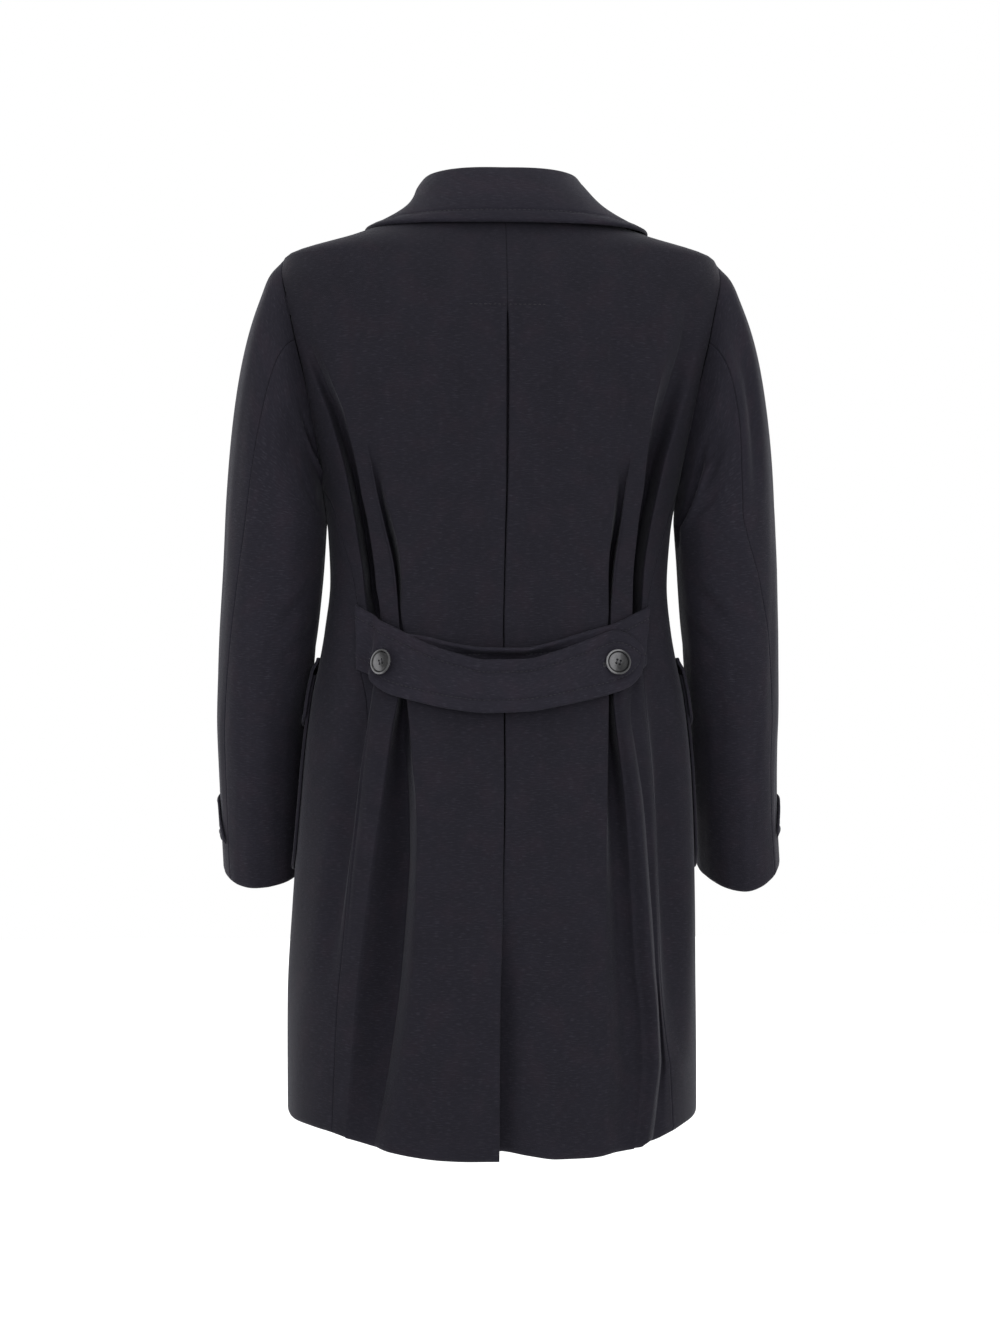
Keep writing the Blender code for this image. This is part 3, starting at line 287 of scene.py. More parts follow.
# Arm of the sleeve below the armhole: middle, half sizes of its rings, and how far the right one swings out
ARM_COLUMNS = ("height", "out", "forward", "half_width", "half_depth", "right_swing")
ARM_ROWS = (
    (-0.330, 0.2345, -0.0040, 0.0530, 0.0760, 0.0020),
    (-0.380, 0.2370, 0.0010, 0.0525, 0.0720, 0.0030),
    (-0.430, 0.2410, 0.0090, 0.0515, 0.0685, 0.0025),
    (-0.480, 0.2460, 0.0200, 0.0490, 0.0655, 0.0020),
    (-0.540, 0.2515, 0.0390, 0.0455, 0.0625, 0.0020),
    (-0.620, 0.2495, 0.0600, 0.0450, 0.0595, 0.0070),
    (-0.698, 0.2465, 0.0820, 0.0450, 0.0565, 0.0175),
)

# Head of the sleeve: its share of the length, its fullness, the ways its cloth leaves the armhole, and how
# far it is moved under the arm
CAP = 0.42
CAP_FULLNESS = 0.80
CAP_TOP = (0.6, 0.0, -0.8)
CAP_FOOT = (0.1, 0.0, -0.99)
CAP_BESIDE = (0.75, 0.80, -0.55)
UNDERARM_GAP = -0.0030

# Seams of the sleeve, in degrees round it by share of its length, and the radius that their gap is taken at
SLEEVE_RADIUS = 0.055
SLEEVE_COLUMNS = ("along", "left_seam", "right_seam", "front_seam")
SLEEVE_ROWS = (
    (0.00, 77.0, 77.0, -118.9),
    (0.10, 74.0, 77.5, -117.5),
    (0.20, 69.5, 78.0, -116.0),
    (0.30, 62.5, 80.0, -114.0),
    (0.38, 57.0, 80.0, -112.8),
    (0.42, 54.5, 77.0, -112.0),
    (0.50, 47.5, 62.0, -110.8),
    (0.60, 41.0, 48.0, -109.4),
    (0.70, 36.5, 42.0, -108.0),
    (1.00, 34.0, 40.0, -106.0),
)

# Cuff: how far its edge is raised, by degrees round the sleeve
CUFF_COLUMNS = ("turn", "left", "right")
CUFF_ROWS = (
    (-110.0, 0.0000, 0.0040),
    (20.0, 0.0000, 0.0070),
    (60.0, -0.0010, -0.0020),
    (90.0, 0.0010, -0.0060),
    (120.0, 0.0040, -0.0040),
    (160.0, 0.0080, 0.0010),
    (250.0, 0.0000, 0.0040),
)
CUFF_FROM = 0.82
CUFF_WRAP = 110.0

# Half belt: top and bottom edge and outer face of each strap, by degrees from centre back
BELT_COLUMNS = ("angle", "top", "bottom", "out")
BELT_OVER_ROWS = (
    (64.0, -0.4140, -0.4750, 0.0042),
    (54.0, -0.4290, -0.4920, 0.0085),
    (46.0, -0.4390, -0.5050, 0.0095),
    (36.0, -0.4520, -0.5125, 0.0100),
    (22.0, -0.4635, -0.5200, 0.0115),
    (8.0, -0.4705, -0.5235, 0.0130),
    (-8.0, -0.4700, -0.5225, 0.0130),
    (-24.0, -0.4610, -0.5165, 0.0115),
    (-38.0, -0.4495, -0.5090, 0.0100),
    (-49.5, -0.4405, -0.4995, 0.0092),
    (-54.0, -0.4450, -0.4920, 0.0088),
    (-57.5, -0.4515, -0.4815, 0.0085),
    (-59.8, -0.4590, -0.4700, 0.0080),
)
BELT_UNDER_ROWS = (
    (-65.8, -0.4155, -0.4720, 0.0036),
    (-58.0, -0.4240, -0.4830, 0.0042),
    (-50.0, -0.4335, -0.4920, 0.0046),
    (-38.0, -0.4420, -0.5000, 0.0050),
    (-24.0, -0.4515, -0.5080, 0.0055),
    (-8.0, -0.4585, -0.5120, 0.0060),
    (10.0, -0.4580, -0.5110, 0.0060),
    (24.0, -0.4535, -0.5060, 0.0055),
    (38.0, -0.4460, -0.4990, 0.0050),
    (48.0, -0.4430, -0.4930, 0.0046),
    (52.0, -0.4480, -0.4870, 0.0046),
)

# Middle of the belt: the upper strap bows out, and the lower one rolls out along its top above a hollow
BOW_REACH = 24.0
BELT_END_GAP = 0.3
BELT_END_EASE = 12.0
OVER_BOW = 0.0065
OVER_BOW_POWER = 1.5
UNDER_ROLL = 0.0085
UNDER_ROLL_FROM = 0.895
UNDER_ROLL_RISE = 0.05
UNDER_HOLLOW = 0.0050
UNDER_HOLLOW_AT = 0.80
UNDER_HOLLOW_HALF = 0.085

# Patch pocket and its flap: heights, the rounding of the lower corners, and how the flap comes to lie flat
POCKET_TOP = -0.482
POCKET_FOOT = -0.690
POCKET_ROUND = 0.020
POCKET_TOP_GAP = 0.004
FLAP_TOP = -0.468
FLAP_FOOT = -0.540
FLAP_ROUND = 0.012
FLAP_REACH = 1.0
FLUSH_EASE = 0.012
CORNER_FROM = 0.6

# Cuff tab: where it lies on the sleeve, by degrees and by distance along it
TAB_FROM = -100.0
TAB_TO = 8.0
TAB_LOW = 0.934
TAB_HIGH = 0.872
TAB_TIP_LIFT = 0.0008
TAB_TIP_FROM = 0.75
TAB_SLANT = 24.0
TAB_CLOTH = 0.0016
TAB_BUTTON_ANGLE = -40.0

# Gaps between style lines, counted from centre back, in which lip, strip and crest turn over
LIP_GAP = 1
STRIP_GAP = 2
CREST_GAP = 4
STRIP_SOFTNESS = 0.2

# Folded edges of each back panel: how far lip, strip and crest hang over the hollows beside them, in degrees,
# how crisply the lip turns over, and how roundly lip and crest roll over
HANG_COLUMNS = ("height", "lip", "strip", "crest", "crisp", "lip_roll", "crest_roll")
HANG_LEFT_ROWS = (
    (0.000, 0.0, 0.0, 0.0, 0.0, 0.0, 0.0),
    (-0.143, 0.0, 0.0, 0.0, 0.0, 0.0, 0.8),
    (-0.185, 0.0, 0.0, 0.2, 0.0, 0.0, 0.5),
    (-0.225, 0.0, 0.0, 0.8, 0.0, 0.0, 0.1),
    (-0.260, 0.0, 0.2, 1.3, 0.0, 0.0, 0.0),
    (-0.300, 0.0, 0.8, 1.6, 0.0, 0.0, 0.0),
    (-0.360, 0.2, 1.2, 1.6, 0.2, 0.0, 0.0),
    (-0.418, 0.4, 0.6, 1.4, 1.0, 0.0, 0.0),
    (-0.482, 1.0, 0.2, 0.2, 1.0, 0.0, 0.0),
    (-0.510, 1.6, 0.0, 0.0, 1.0, 0.0, 0.6),
    (-0.540, 1.4, 0.0, 0.0, 1.0, 0.2, 1.0),
    (-0.610, 0.4, 0.0, 0.0, 1.0, 0.8, 1.0),
    (-0.690, 0.0, 0.0, 0.0, 1.0, 1.0, 1.0),
    (-0.943, 0.0, 0.0, 0.0, 1.0, 1.0, 1.0),
)
HANG_RIGHT_ROWS = (
    (0.000, 0.0, 0.0, 0.0, 0.0, 0.0, 0.0),
    (-0.143, 0.0, 0.0, 0.0, 0.0, 0.0, 0.8),
    (-0.185, 0.0, 0.0, 0.3, 0.0, 0.0, 0.6),
    (-0.225, 0.0, 0.0, 1.0, 0.0, 0.0, 0.2),
    (-0.260, 0.0, 0.3, 1.4, 0.0, 0.0, 0.0),
    (-0.300, 0.0, 0.8, 1.6, 0.0, 0.0, 0.0),
    (-0.360, 0.2, 1.2, 1.6, 0.3, 0.0, 0.0),
    (-0.418, 0.4, 0.6, 1.4, 1.0, 0.0, 0.0),
    (-0.482, 0.8, 0.2, 0.2, 1.0, 0.0, 0.3),
    (-0.510, 1.2, 0.0, 0.0, 1.0, 0.0, 0.7),
    (-0.540, 1.2, 0.0, 0.0, 1.0, 0.0, 1.0),
    (-0.610, 0.8, 0.0, 0.0, 0.9, 0.0, 1.0),
    (-0.690, 0.2, 0.0, 0.0, 0.5, 0.0, 1.0),
    (-0.775, 0.0, 0.0, 0.0, 0.2, 0.0, 1.0),
    (-0.943, 0.0, 0.0, 0.0, 0.0, 0.0, 1.0),
)

# Back vent: how far each panel's centre edge strays from the middle, in degrees, how far the right edge
# sinks, and how far the cloth beside it dips
VENT_COLUMNS = ("height", "left", "right", "right_out", "dip")
VENT_ROWS = (
    (0.000, 0.0, 0.0, 0.0000, 0.0000),
    (-0.600, 0.0, 0.0, 0.0000, 0.0000),
    (-0.700, 0.0, -0.6, 0.0000, -0.0020),
    (-0.757, 0.0, -1.6, -0.0010, -0.0070),
    (-0.800, 0.2, -3.0, -0.0015, -0.0120),
    (-0.943, 0.6, -4.0, -0.0015, -0.0130),
)
VENT_DIP_REACH = 6.0

# Long soft waves of hung cloth: waves in a full turn, waves by height, start and share
RIPPLE_ROWS = (
    (5, 9.0, 0.7, 1.0),
    (9, -14.0, 2.1, 0.8),
    (14, 6.0, 4.0, 0.6),
    (21, 23.0, 1.3, 0.4),
)
RIPPLE = 0.0005
RIPPLE_TOP = -0.070
RIPPLE_FADE = 0.060

# Creases: a path from one place to another, its bow to one side, half width and depth. Below zero is a
# trough. A narrow one has a ridge beside it, placed in half widths
CREASE_TAPER = 0.8
CREASE_RIDGE = 0.45
RIDGE_AT = 1.7
RIDGE_HALF = 1.3
WIDE_CREASE = 0.0088

# Body: metres in a degree round it, and its creases by degrees and height
BODY_DEGREE = 0.0029
BODY_CREASE_ROWS = (
    (-17.3, -0.1140, 17.3, -0.1140, 0.000, 0.0016, -0.0010),
    (57.4, -0.4000, 60.2, -0.8000, 0.000, 0.0090, -0.0150),
    (-66.0, -0.4400, -63.5, -0.8800, 0.000, 0.0170, -0.0200),
    (100.0, -0.3000, 122.0, -0.3700, 0.006, 0.0110, -0.0035),
    (-101.0, -0.3050, -124.0, -0.3800, -0.006, 0.0110, -0.0035),
    (108.0, -0.2900, 138.0, -0.3300, 0.004, 0.0080, -0.0020),
    (-110.0, -0.2950, -136.0, -0.3300, -0.004, 0.0080, -0.0020),
    (150.0, -0.6700, 156.0, -0.9300, 0.008, 0.0220, -0.0045),
    (-146.0, -0.6900, -150.0, -0.9350, -0.006, 0.0200, -0.0040),
    (118.0, -0.7200, 116.0, -0.9300, -0.005, 0.0240, -0.0040),
    (-112.0, -0.7300, -108.0, -0.9300, 0.005, 0.0220, -0.0035),
)

# Sleeves: metres in a degree round one and in its length, its waves and roped head, and its creases by
# degrees and share of its length
SLEEVE_DEGREE = 0.00096
SLEEVE_LENGTH = 0.66
SLEEVE_WRAP = 105.0
SLEEVE_CALM = 0.04
SLEEVE_RIPPLE = 0.0003
SLEEVE_RATE = 0.9
SLEEVE_HEAD = 0.0026
SLEEVE_HEAD_EVEN = 0.45
SLEEVE_HEAD_EASE = 0.03
SLEEVE_HEAD_AT = 0.035
SLEEVE_HEAD_WIDTH = 0.030
SLEEVE_CREASE_ROWS = {
    1: (
        (108.0, 0.080, 176.0, 0.020, 0.000, 0.0085, -0.0140),
        (66.0, 0.085, 128.0, 0.090, 0.000, 0.0260, 0.0030),
        (178.0, 0.620, 176.0, 0.900, 0.000, 0.0200, 0.0040),
        (150.0, 0.505, 96.0, 0.585, 0.004, 0.0060, -0.0030),
        (158.0, 0.560, 108.0, 0.620, -0.003, 0.0050, -0.0018),
        (-60.0, 0.530, -100.0, 0.560, 0.003, 0.0060, -0.0028),
        (-48.0, 0.600, -98.0, 0.595, -0.004, 0.0055, -0.0022),
        (120.0, 0.200, 150.0, 0.330, 0.004, 0.0060, -0.0020),
        (84.0, 0.640, 70.0, 0.800, 0.003, 0.0100, -0.0016),
    ),
    -1: (
        (98.0, 0.200, 138.0, 0.165, 0.000, 0.0100, -0.0030),
        (66.0, 0.095, 138.0, 0.095, 0.000, 0.0290, 0.0050),
        (120.0, 0.130, 174.0, 0.460, 0.000, 0.0065, -0.0140),
        (178.0, 0.620, 176.0, 0.900, 0.000, 0.0200, 0.0045),
        (152.0, 0.500, 92.0, 0.580, 0.004, 0.0060, -0.0032),
        (160.0, 0.545, 104.0, 0.625, -0.003, 0.0052, -0.0020),
        (92.0, 0.200, 126.0, 0.275, -0.003, 0.0055, -0.0026),
        (104.0, 0.285, 142.0, 0.360, 0.003, 0.0055, -0.0022),
        (73.0, 0.060, 78.0, 0.380, 0.003, 0.0080, 0.0028),
        (57.0, 0.050, 60.0, 0.350, 0.000, 0.0090, -0.0045),
        (-58.0, 0.525, -100.0, 0.550, 0.003, 0.0060, -0.0026),
        (-50.0, 0.590, -98.0, 0.600, -0.004, 0.0055, -0.0022),
        (80.0, 0.660, 74.0, 0.820, -0.003, 0.0100, -0.0015),
    ),
}

# Cloth grids: columns between style lines, and rows along the cloth
BACK_FINE = (44, 14, 10, 12, 12, 12, 12)
FRONT_FINE = (18, 24, 44)
FRONT_EDGE_PART = 0.88
FRONT_EDGE_STEPS = 16
TOP_ROW_STEP = 0.0035
ARMHOLE_STEP = 2.0
SKIRT_ROW_STEP = 0.0042
UPPER_FINE = 64
UNDER_FINE = 46
SLEEVE_FINE = 150
COLLAR_FINE = (170, 66)
LAPEL_FINE = (56, 90)
BELT_FINE = (150, 42)
POCKET_FINE = (60, 70)
FLAP_FINE = (60, 34)
TAB_FINE = (56, 24)
STRIP_FINE = (24, 90)

# Edges of the cloth: how the last few millimetres are rounded over, and the swell beside a row of stitches
RIM_STEPS = (0.0003, 0.0008, 0.0016, 0.0028, 0.0045, 0.0066)
RIM_CLEAR = 1.4
RIM_OUTSIDE = 0.60
RIM_INSIDE = 0.15
TURNED_RADIUS = 0.0065
TURNED_SHARE = 0.90
SWELL = 0.0006
SWELL_EASE = 0.0030
GROOVE = 0.0011
GROOVE_WIDTH = 0.0013
COLLAR_CLOTH = 0.0034
LAPEL_CLOTH = 0.0030
BELT_CLOTH = 0.0030

# Stitches: parts of a stitch or of the thread, and the bar across the top of the centre pleat
STITCH_PROBE = 0.4
STITCH_SUNK = 0.35
STITCH_ROOM = 0.0005
BAR_FROM = 0.4
BAR_STEPS = 40
BAR_RAISED = 0.85

# Worked buttonhole: parts of its width and of the thread, and its ends beside a front button
SLIT_BESIDE = 0.9
SLIT_THREAD = 1.3
SLIT_REACH = 1.5
SLIT_WIDTH = 0.8
SLIT_DEPTH = 0.3
FRONT_SLIT = (-0.004, 0.022)
BELT_SLIT_PAST = 2.0

# The lapel turns back inside along its roll line
ROLL_PART = 0.12
ROLL_RADIUS = 0.0042
ROLL_TURN = 2.5
ROLL_BACK = 0.0022
ROLL_TUCKED = 0.35

# Pieces whose wool is painted paler, and by which share: those sewn of two layers, partly for their raised
# nap
# and partly as painted light from above, and the sleeves a little, as painted light alone
NAP_AND_PAINTED_LIGHT = {"collar": 1.0, "lapel_left": 1.0, "lapel_right": 1.0, "belt_over": 1.0, "belt_under": 1.0,
          "pocket_flap": 1.0, "cuff_tab": 1.0, "sleeve_upper": 0.65, "sleeve_under": 0.65}

# Buttons. Each belt button has its side, angle and height, lean in degrees, lift, and the far end of its
# buttonhole in degrees and metres. The turned profile is in parts of the radius
BELT_BUTTONS = (("left", 49.1, -0.4735, 18.0, 0.0028, (7.0, 0.0050)),
                ("right", -47.7, -0.4735, 14.0, 0.0012, (5.5, -0.0025)))
FRONT_BUTTON_X = 0.072
FRONT_BUTTON_HEIGHTS = (-0.400, -0.510, -0.620)
BUTTON_LIFT = 0.0005
BUTTON_STEPS = 56
BUTTON_PROFILE = (
    (0.000, 0.020), (0.560, 0.000), (0.840, 0.040), (0.950, 0.110), (0.995, 0.190), (0.990, 0.250),
    (0.960, 0.300), (0.915, 0.322), (0.870, 0.312), (0.835, 0.275), (0.810, 0.222), (0.785, 0.204),
    (0.758, 0.216), (0.735, 0.244), (0.700, 0.252), (0.600, 0.238), (0.400, 0.214), (0.200, 0.204),
    (0.000, 0.202),
)
HOLE_STEPS = 14
HOLE_RADIUS = 0.092
HOLE_PLACE = 0.140
THREAD_RADIUS = 0.046

# Making and sewing on a button: the drill, points merged, edges kept sharp and spins, these two in degrees
DRILL_DEPTH = 2.0
MERGED = 1e-5
SHARP_EDGE = 50.0
BELT_SPIN = 20.0
CUFF_SPIN = 35.0
FRONT_SPIN = 17.0

# Noise in the wool: repeats in a metre, and detail
MOTTLE = ((32.0, 26.0, 1.0), 2.0)
NAP = ((900.0, 620.0, 1.0), 3.0)
TINT = ((34.0, 30.0, 1.0), 2.0)
WARP_STRETCH = 0.8
SLUB_STRETCH = (0.8, 0.9)

# Where a yarn begins to show in its noise, where it shows in full, and its share of the colour
WEFT_LIGHT = (0.54, 0.74, 0.32)
SLUB_LIGHT = (0.64, 0.80, 0.36)
WARP_LIGHT = (0.62, 0.78, 0.06)
WEFT_DARK = (0.46, 0.28, 0.30)
WARM_YARN = (0.46, 0.70, 0.38)

# Share of mottle and nap in the shade, and of each part of the cloth in its relief
MOTTLE_SHADE = 0.5
NAP_SHADE = 0.4
NAP_RELIEF = 0.8
RIB_RELIEF = 0.10
WEFT_RELIEF = 0.45
WARP_RELIEF = 0.25
NAP_HEIGHT = 0.0006

# Thread: its twist in repeats in a metre, its darker side, and the strength and height of its relief
TWIST = ((2600.0, 2600.0, 2600.0), 1.0)
TWIST_RELIEF = (0.4, 0.0002)
THREAD_DEEP = 0.6

# Horn: wear in repeats in a metre, clouds in repeats in a radius, where a painted highlight pales it from
# side to side, and the rim with its painted highlight and the groove with its painted shade, in parts of the
# radius, each with its share
WEAR = ((700.0, 700.0, 700.0), 2.0)
WEAR_RELIEF = (0.08, 0.0003)
CLOUD = ((2.2, 1.4, 1.0), 2.0)
CLOUD_SHIFT = 1.1
HIGHLIGHT_SIDE = (-0.45, 0.40)
HIGHLIGHT_LEAST = 0.45
HIGHLIGHT_CLOUD = 0.6
RIM_HIGHLIGHT_EDGE = (0.86, 0.90)
RIM_HIGHLIGHT = 0.22
GROOVE_SHADE_EDGES = ((0.72, 0.76), (0.84, 0.88))
GROOVE_SHADE = 0.95

# Studio: lights with their places, sizes and powers, and the floor
LIGHT_AIM = (0.0, 0.0, -0.5)
STUDIO_LIGHTS = (
    ("left_box", (2.3, 1.9, 0.3), (1.6, 2.4), 7.0),
    ("right_box", (-2.3, 1.9, 0.3), (1.6, 2.4), 8.0),
    ("back_box", (0.3, 3.8, 0.9), (2.4, 2.0), 22.0),
    ("front_left_box", (2.2, -2.2, 0.5), (1.6, 2.4), 26.0),
    ("front_right_box", (-2.2, -2.2, 0.5), (1.6, 2.4), 26.0),
)
SUN_PLACE = (0.0, 0.0, 3.0)
SUN_AIM = (0.0, 0.0, 0.0)
SUN_SPREAD = 60.0
FLOOR_HALF = 24.0
FLOOR_GRAIN = (4.0, 4.0, 4.0)
FLOOR_SHADE = 0.98

# Settings that properties of one kind share
COLOUR = {"subtype": "COLOR", "size": 3, "min": 0.0, "max": 1.0}
SHARE = {"subtype": "FACTOR", "min": 0.0, "max": 1.0}


def ease(part):
    """A share from 0 to 1 that starts and ends softly."""
    return part * part * (3.0 - 2.0 * part)


def smooth(part):
    """An eased step from 0 to 1."""
    return ease(np.clip(part, 0.0, 1.0))


def bell(at, middle, half):
    """A soft hump of height one about a middle."""
    return np.exp(-(((at - middle) / half) ** 2))


def wrap(turn, back):
    """Degrees brought into the full turn that begins so far back."""
    return (turn + back) % 360.0 - back


def hermite(part, first, last, leave, arrive, gap=1.0):
    """Values between two others, with the slopes at which they leave and arrive."""
    lead = part * (1.0 - part) ** 2 * leave
    trail = part * part * (1.0 - part) * arrive
    return first * (1.0 - ease(part)) + last * ease(part) + gap * (lead - trail)


def even(fine, across=(0.0, 1.0), along=(0.0, 1.0)):
    """Evenly spaced columns and rows of a cloth grid."""
    return np.linspace(*across, fine[0]), np.linspace(*along, fine[1])


class Curve:
    """A smooth curve through rows of a table that never swings past them, straight beyond its ends."""

    def __init__(self, places, values):
        order = np.argsort(places)
        self.places = np.array(places, float)[order]
        self.values = np.array(values, float)[order]
        rise = np.diff(self.values) / np.diff(self.places)
        before, after = rise[:-1], rise[1:]
        turning = before * after <= 0.0
        total = np.where(turning, 1.0, before + after)
        self.slopes = np.concatenate(
            (rise[:1], np.where(turning, 0.0, 2.0 * before * after / total), rise[-1:]))

    def __call__(self, at):
        beyond = np.asarray(at, float)
        at = np.clip(beyond, self.places[0], self.places[-1])
        row = np.clip(np.searchsorted(self.places, at) - 1, 0, len(self.places) - 2)
        gap = self.places[row + 1] - self.places[row]
        part = (at - self.places[row]) / gap
        inside = hermite(part, self.values[row], self.values[row + 1],
                         self.slopes[row], self.slopes[row + 1], gap)
        return inside + (beyond - at) * np.where(beyond < at, self.slopes[0], self.slopes[-1])


def curves(columns, rows):
    """Each named column of a table as a curve over the first column."""
    data = np.array(rows, float)
    return {name: Curve(data[:, 0], data[:, index]) for index, name in enumerate(columns)}


TORSO = curves(TORSO_COLUMNS, TORSO_ROWS)
SEAMS = curves(SEAM_COLUMNS, SEAM_ROWS)
BACKS = {1: curves(BACK_COLUMNS, BACK_LEFT_ROWS), -1: curves(BACK_COLUMNS, BACK_RIGHT_ROWS)}
CENTRE = curves(CENTRE_COLUMNS, CENTRE_ROWS)
FRONT = curves(FRONT_COLUMNS, FRONT_ROWS)
LAPEL = curves(LAPEL_COLUMNS, LAPEL_ROWS)
HEM_DROP = curves(HEM_COLUMNS, HEM_ROWS)
COLLAR = curves(COLLAR_COLUMNS, COLLAR_ROWS)
ARM = curves(ARM_COLUMNS, ARM_ROWS)
SLEEVE = curves(SLEEVE_COLUMNS, SLEEVE_ROWS)
CUFF = curves(CUFF_COLUMNS, CUFF_ROWS)
BELT_OVER = curves(BELT_COLUMNS, BELT_OVER_ROWS)
BELT_UNDER = curves(BELT_COLUMNS, BELT_UNDER_ROWS)
HANGS = {1: curves(HANG_COLUMNS, HANG_LEFT_ROWS), -1: curves(HANG_COLUMNS, HANG_RIGHT_ROWS)}
VENT = curves(VENT_COLUMNS, VENT_ROWS)


def unit(vectors):
    """Vectors of length one."""
    return vectors / np.linalg.norm(vectors, axis=-1, keepdims=True)


def torso(angle, height, out=0.0):
    """Points of the body's outer face, by degrees from centre back towards the wearer's left."""
    turn = np.radians(angle)
    across, along = np.sin(turn), np.cos(turn)
    behind = along > 0.0
    depth = np.where(behind, TORSO["back"](height), TORSO["front"](height))
    power = np.where(behind, BACK_SQUARENESS, FRONT_SQUARENESS)
    width = TORSO["half_width"](height)
    radius = (np.abs(across / width) ** power + np.abs(along / depth) ** power) ** (-1.0 / power) + out
    return np.stack((across * radius + TORSO["sway"](height), along * radius, height + 0.0 * radius), -1)


def torso_normal(angle, height):
    """Outward directions of the body's outer face."""
    turned = torso(angle + PROBE_TURN, height) - torso(angle - PROBE_TURN, height)
    raised = torso(angle, height + PROBE) - torso(angle, height - PROBE)
    return unit(np.cross(raised, turned))


def front_angle(x, height):
    """Degrees from centre back, through the left side, of a place on the front."""
    width = TORSO["half_width"](height)
    part = np.clip(1.0 - np.abs(x / width) ** FRONT_SQUARENESS, 0.0, 1.0)
    depth = TORSO["front"](height) * part ** (1.0 / FRONT_SQUARENESS)
    return np.degrees(np.arctan2(x, -depth)) % 360.0


def armhole_angle(height, reach):
    """Degrees from the side to the armhole edge at a height."""
    part = np.clip((height - ARMHOLE_MIDDLE) / ARMHOLE_HALF, -1.0, 1.0)
    return reach * np.sqrt(1.0 - part * part)


def side_edge(side, height, reach):
    """Degrees from centre back of a panel's side edge: shoulder seam, armhole, then side back seam."""
    seam = SEAMS[HANDS[side]](height)
    upper = SIDE_ANGLE + armhole_angle(height, reach)
    return np.where(height > ARMHOLE_MIDDLE - ARMHOLE_HALF, upper, seam)


def seam_degrees(radius):
    """Half the seam gap as an angle, below zero where panels meet."""
    return np.degrees(0.5 * SEAM / radius)


def drop_hem(angle, height):
    """Heights with the hem lowered towards centre back, by degrees towards the wearer's left."""
    share = smooth((HEM_DROP_FROM - height) / (HEM_DROP_FROM - HEM))
    turned = np.minimum(np.abs(angle), HEM_ROWS[-1][0])
    drop = np.where(angle < 0.0, HEM_DROP["right"](turned), HEM_DROP["left"](turned))
    return height - drop * share


def between(lines, place):
    """Values at places along an ordered set of style lines."""
    values = np.stack([line + 0.0 * place for line in lines])
    first = np.clip(np.floor(place).astype(int), 0, len(lines) - 2)
    part = place - first
    count = np.arange(len(place))
    return values[first, count] * (1.0 - part) + values[first + 1, count] * part


def split_lines(splits):
    """Column places with each gap between style lines split evenly."""
    places = [np.linspace(line, line + 1, count, endpoint=False) for line, count in enumerate(splits)]
    return np.concatenate(places + [np.array([len(splits)], float)])


def crease_lift(rows, turn, along, degree, length=1.0):
    """How far creases lift or sink a face: each a soft trough, with a lower ridge beside a narrow one."""
    across, up = turn * degree, along * length
    total = 0.0 * across
    for from_turn, from_along, to_turn, to_along, bow, width, depth in rows:
        begin_x, begin_y = from_turn * degree, from_along * length
        run, rise = to_turn * degree - begin_x, to_along * length - begin_y
        span = np.hypot(run, rise)
        part = ((across - begin_x) * run + (up - begin_y) * rise) / span**2
        inside = np.clip(part, 0.0, 1.0)
        beside = ((up - begin_y) * run - (across - begin_x) * rise) / span
        beside = (beside - 4.0 * bow * inside * (1.0 - inside)) / width
        taper = np.sin(np.pi * inside) ** CREASE_TAPER * (np.abs(part - 0.5) < 0.5)
        ridge = CREASE_RIDGE * (width < WIDE_CREASE) * bell(beside, RIDGE_AT, RIDGE_HALF)
        total = total + depth * taper * (bell(beside, 0.0, 1.0) - ridge)
    return total


def waves(turn, along):
    """Uneven long waves, the same after a full turn."""
    return sum(share * np.sin(turns * turn + rate * along + start)
               for turns, rate, start, share in RIPPLE_ROWS)


def settle(angle, height):
    """How far hung cloth strays from the body's even form."""
    calm = smooth((RIPPLE_TOP - height) / RIPPLE_FADE)
    creases = crease_lift(BODY_CREASE_ROWS, wrap(angle, 180.0), height, BODY_DEGREE)
    return RIPPLE * calm * waves(np.radians(angle), height) + creases


def on_body(angle, height, out=0.0):
    """Points of cloth that hangs on the body's form."""
    return torso(angle, height, out + settle(angle, height))


def centre_edge(side, height):
    """Degrees from centre back to a back panel's centre edge."""
    radius = TORSO["back"](height)
    edge = seam_degrees(radius) + np.degrees(CENTRE["opening"](height) / radius)
    return edge + VENT[HANDS[side]](height)


def back_outs(outs, place, crisp, lip_roll, crest_roll):
    """How far a back panel stands out between style lines, with soft floors and turned or rolled edges."""
    first = np.clip(np.floor(place).astype(int), 0, len(outs) - 2)
    part = place - first
    soft = ease(part)
    falling, rising = part * (2.0 - part), part * part
    lip = soft + (falling - soft) * crisp
    lip = lip + (rising - lip) * lip_roll
    strip = rising + (soft - rising) * STRIP_SOFTNESS * lip_roll
    crest = falling + (rising - falling) * crest_roll
    share = np.select([first == LIP_GAP, first == STRIP_GAP, first == CREST_GAP], [lip, strip, crest], soft)
    values = np.stack([out + 0.0 * place for out in outs])
    count = np.arange(len(place))
    return values[first, count] * (1.0 - share) + values[first + 1, count] * share


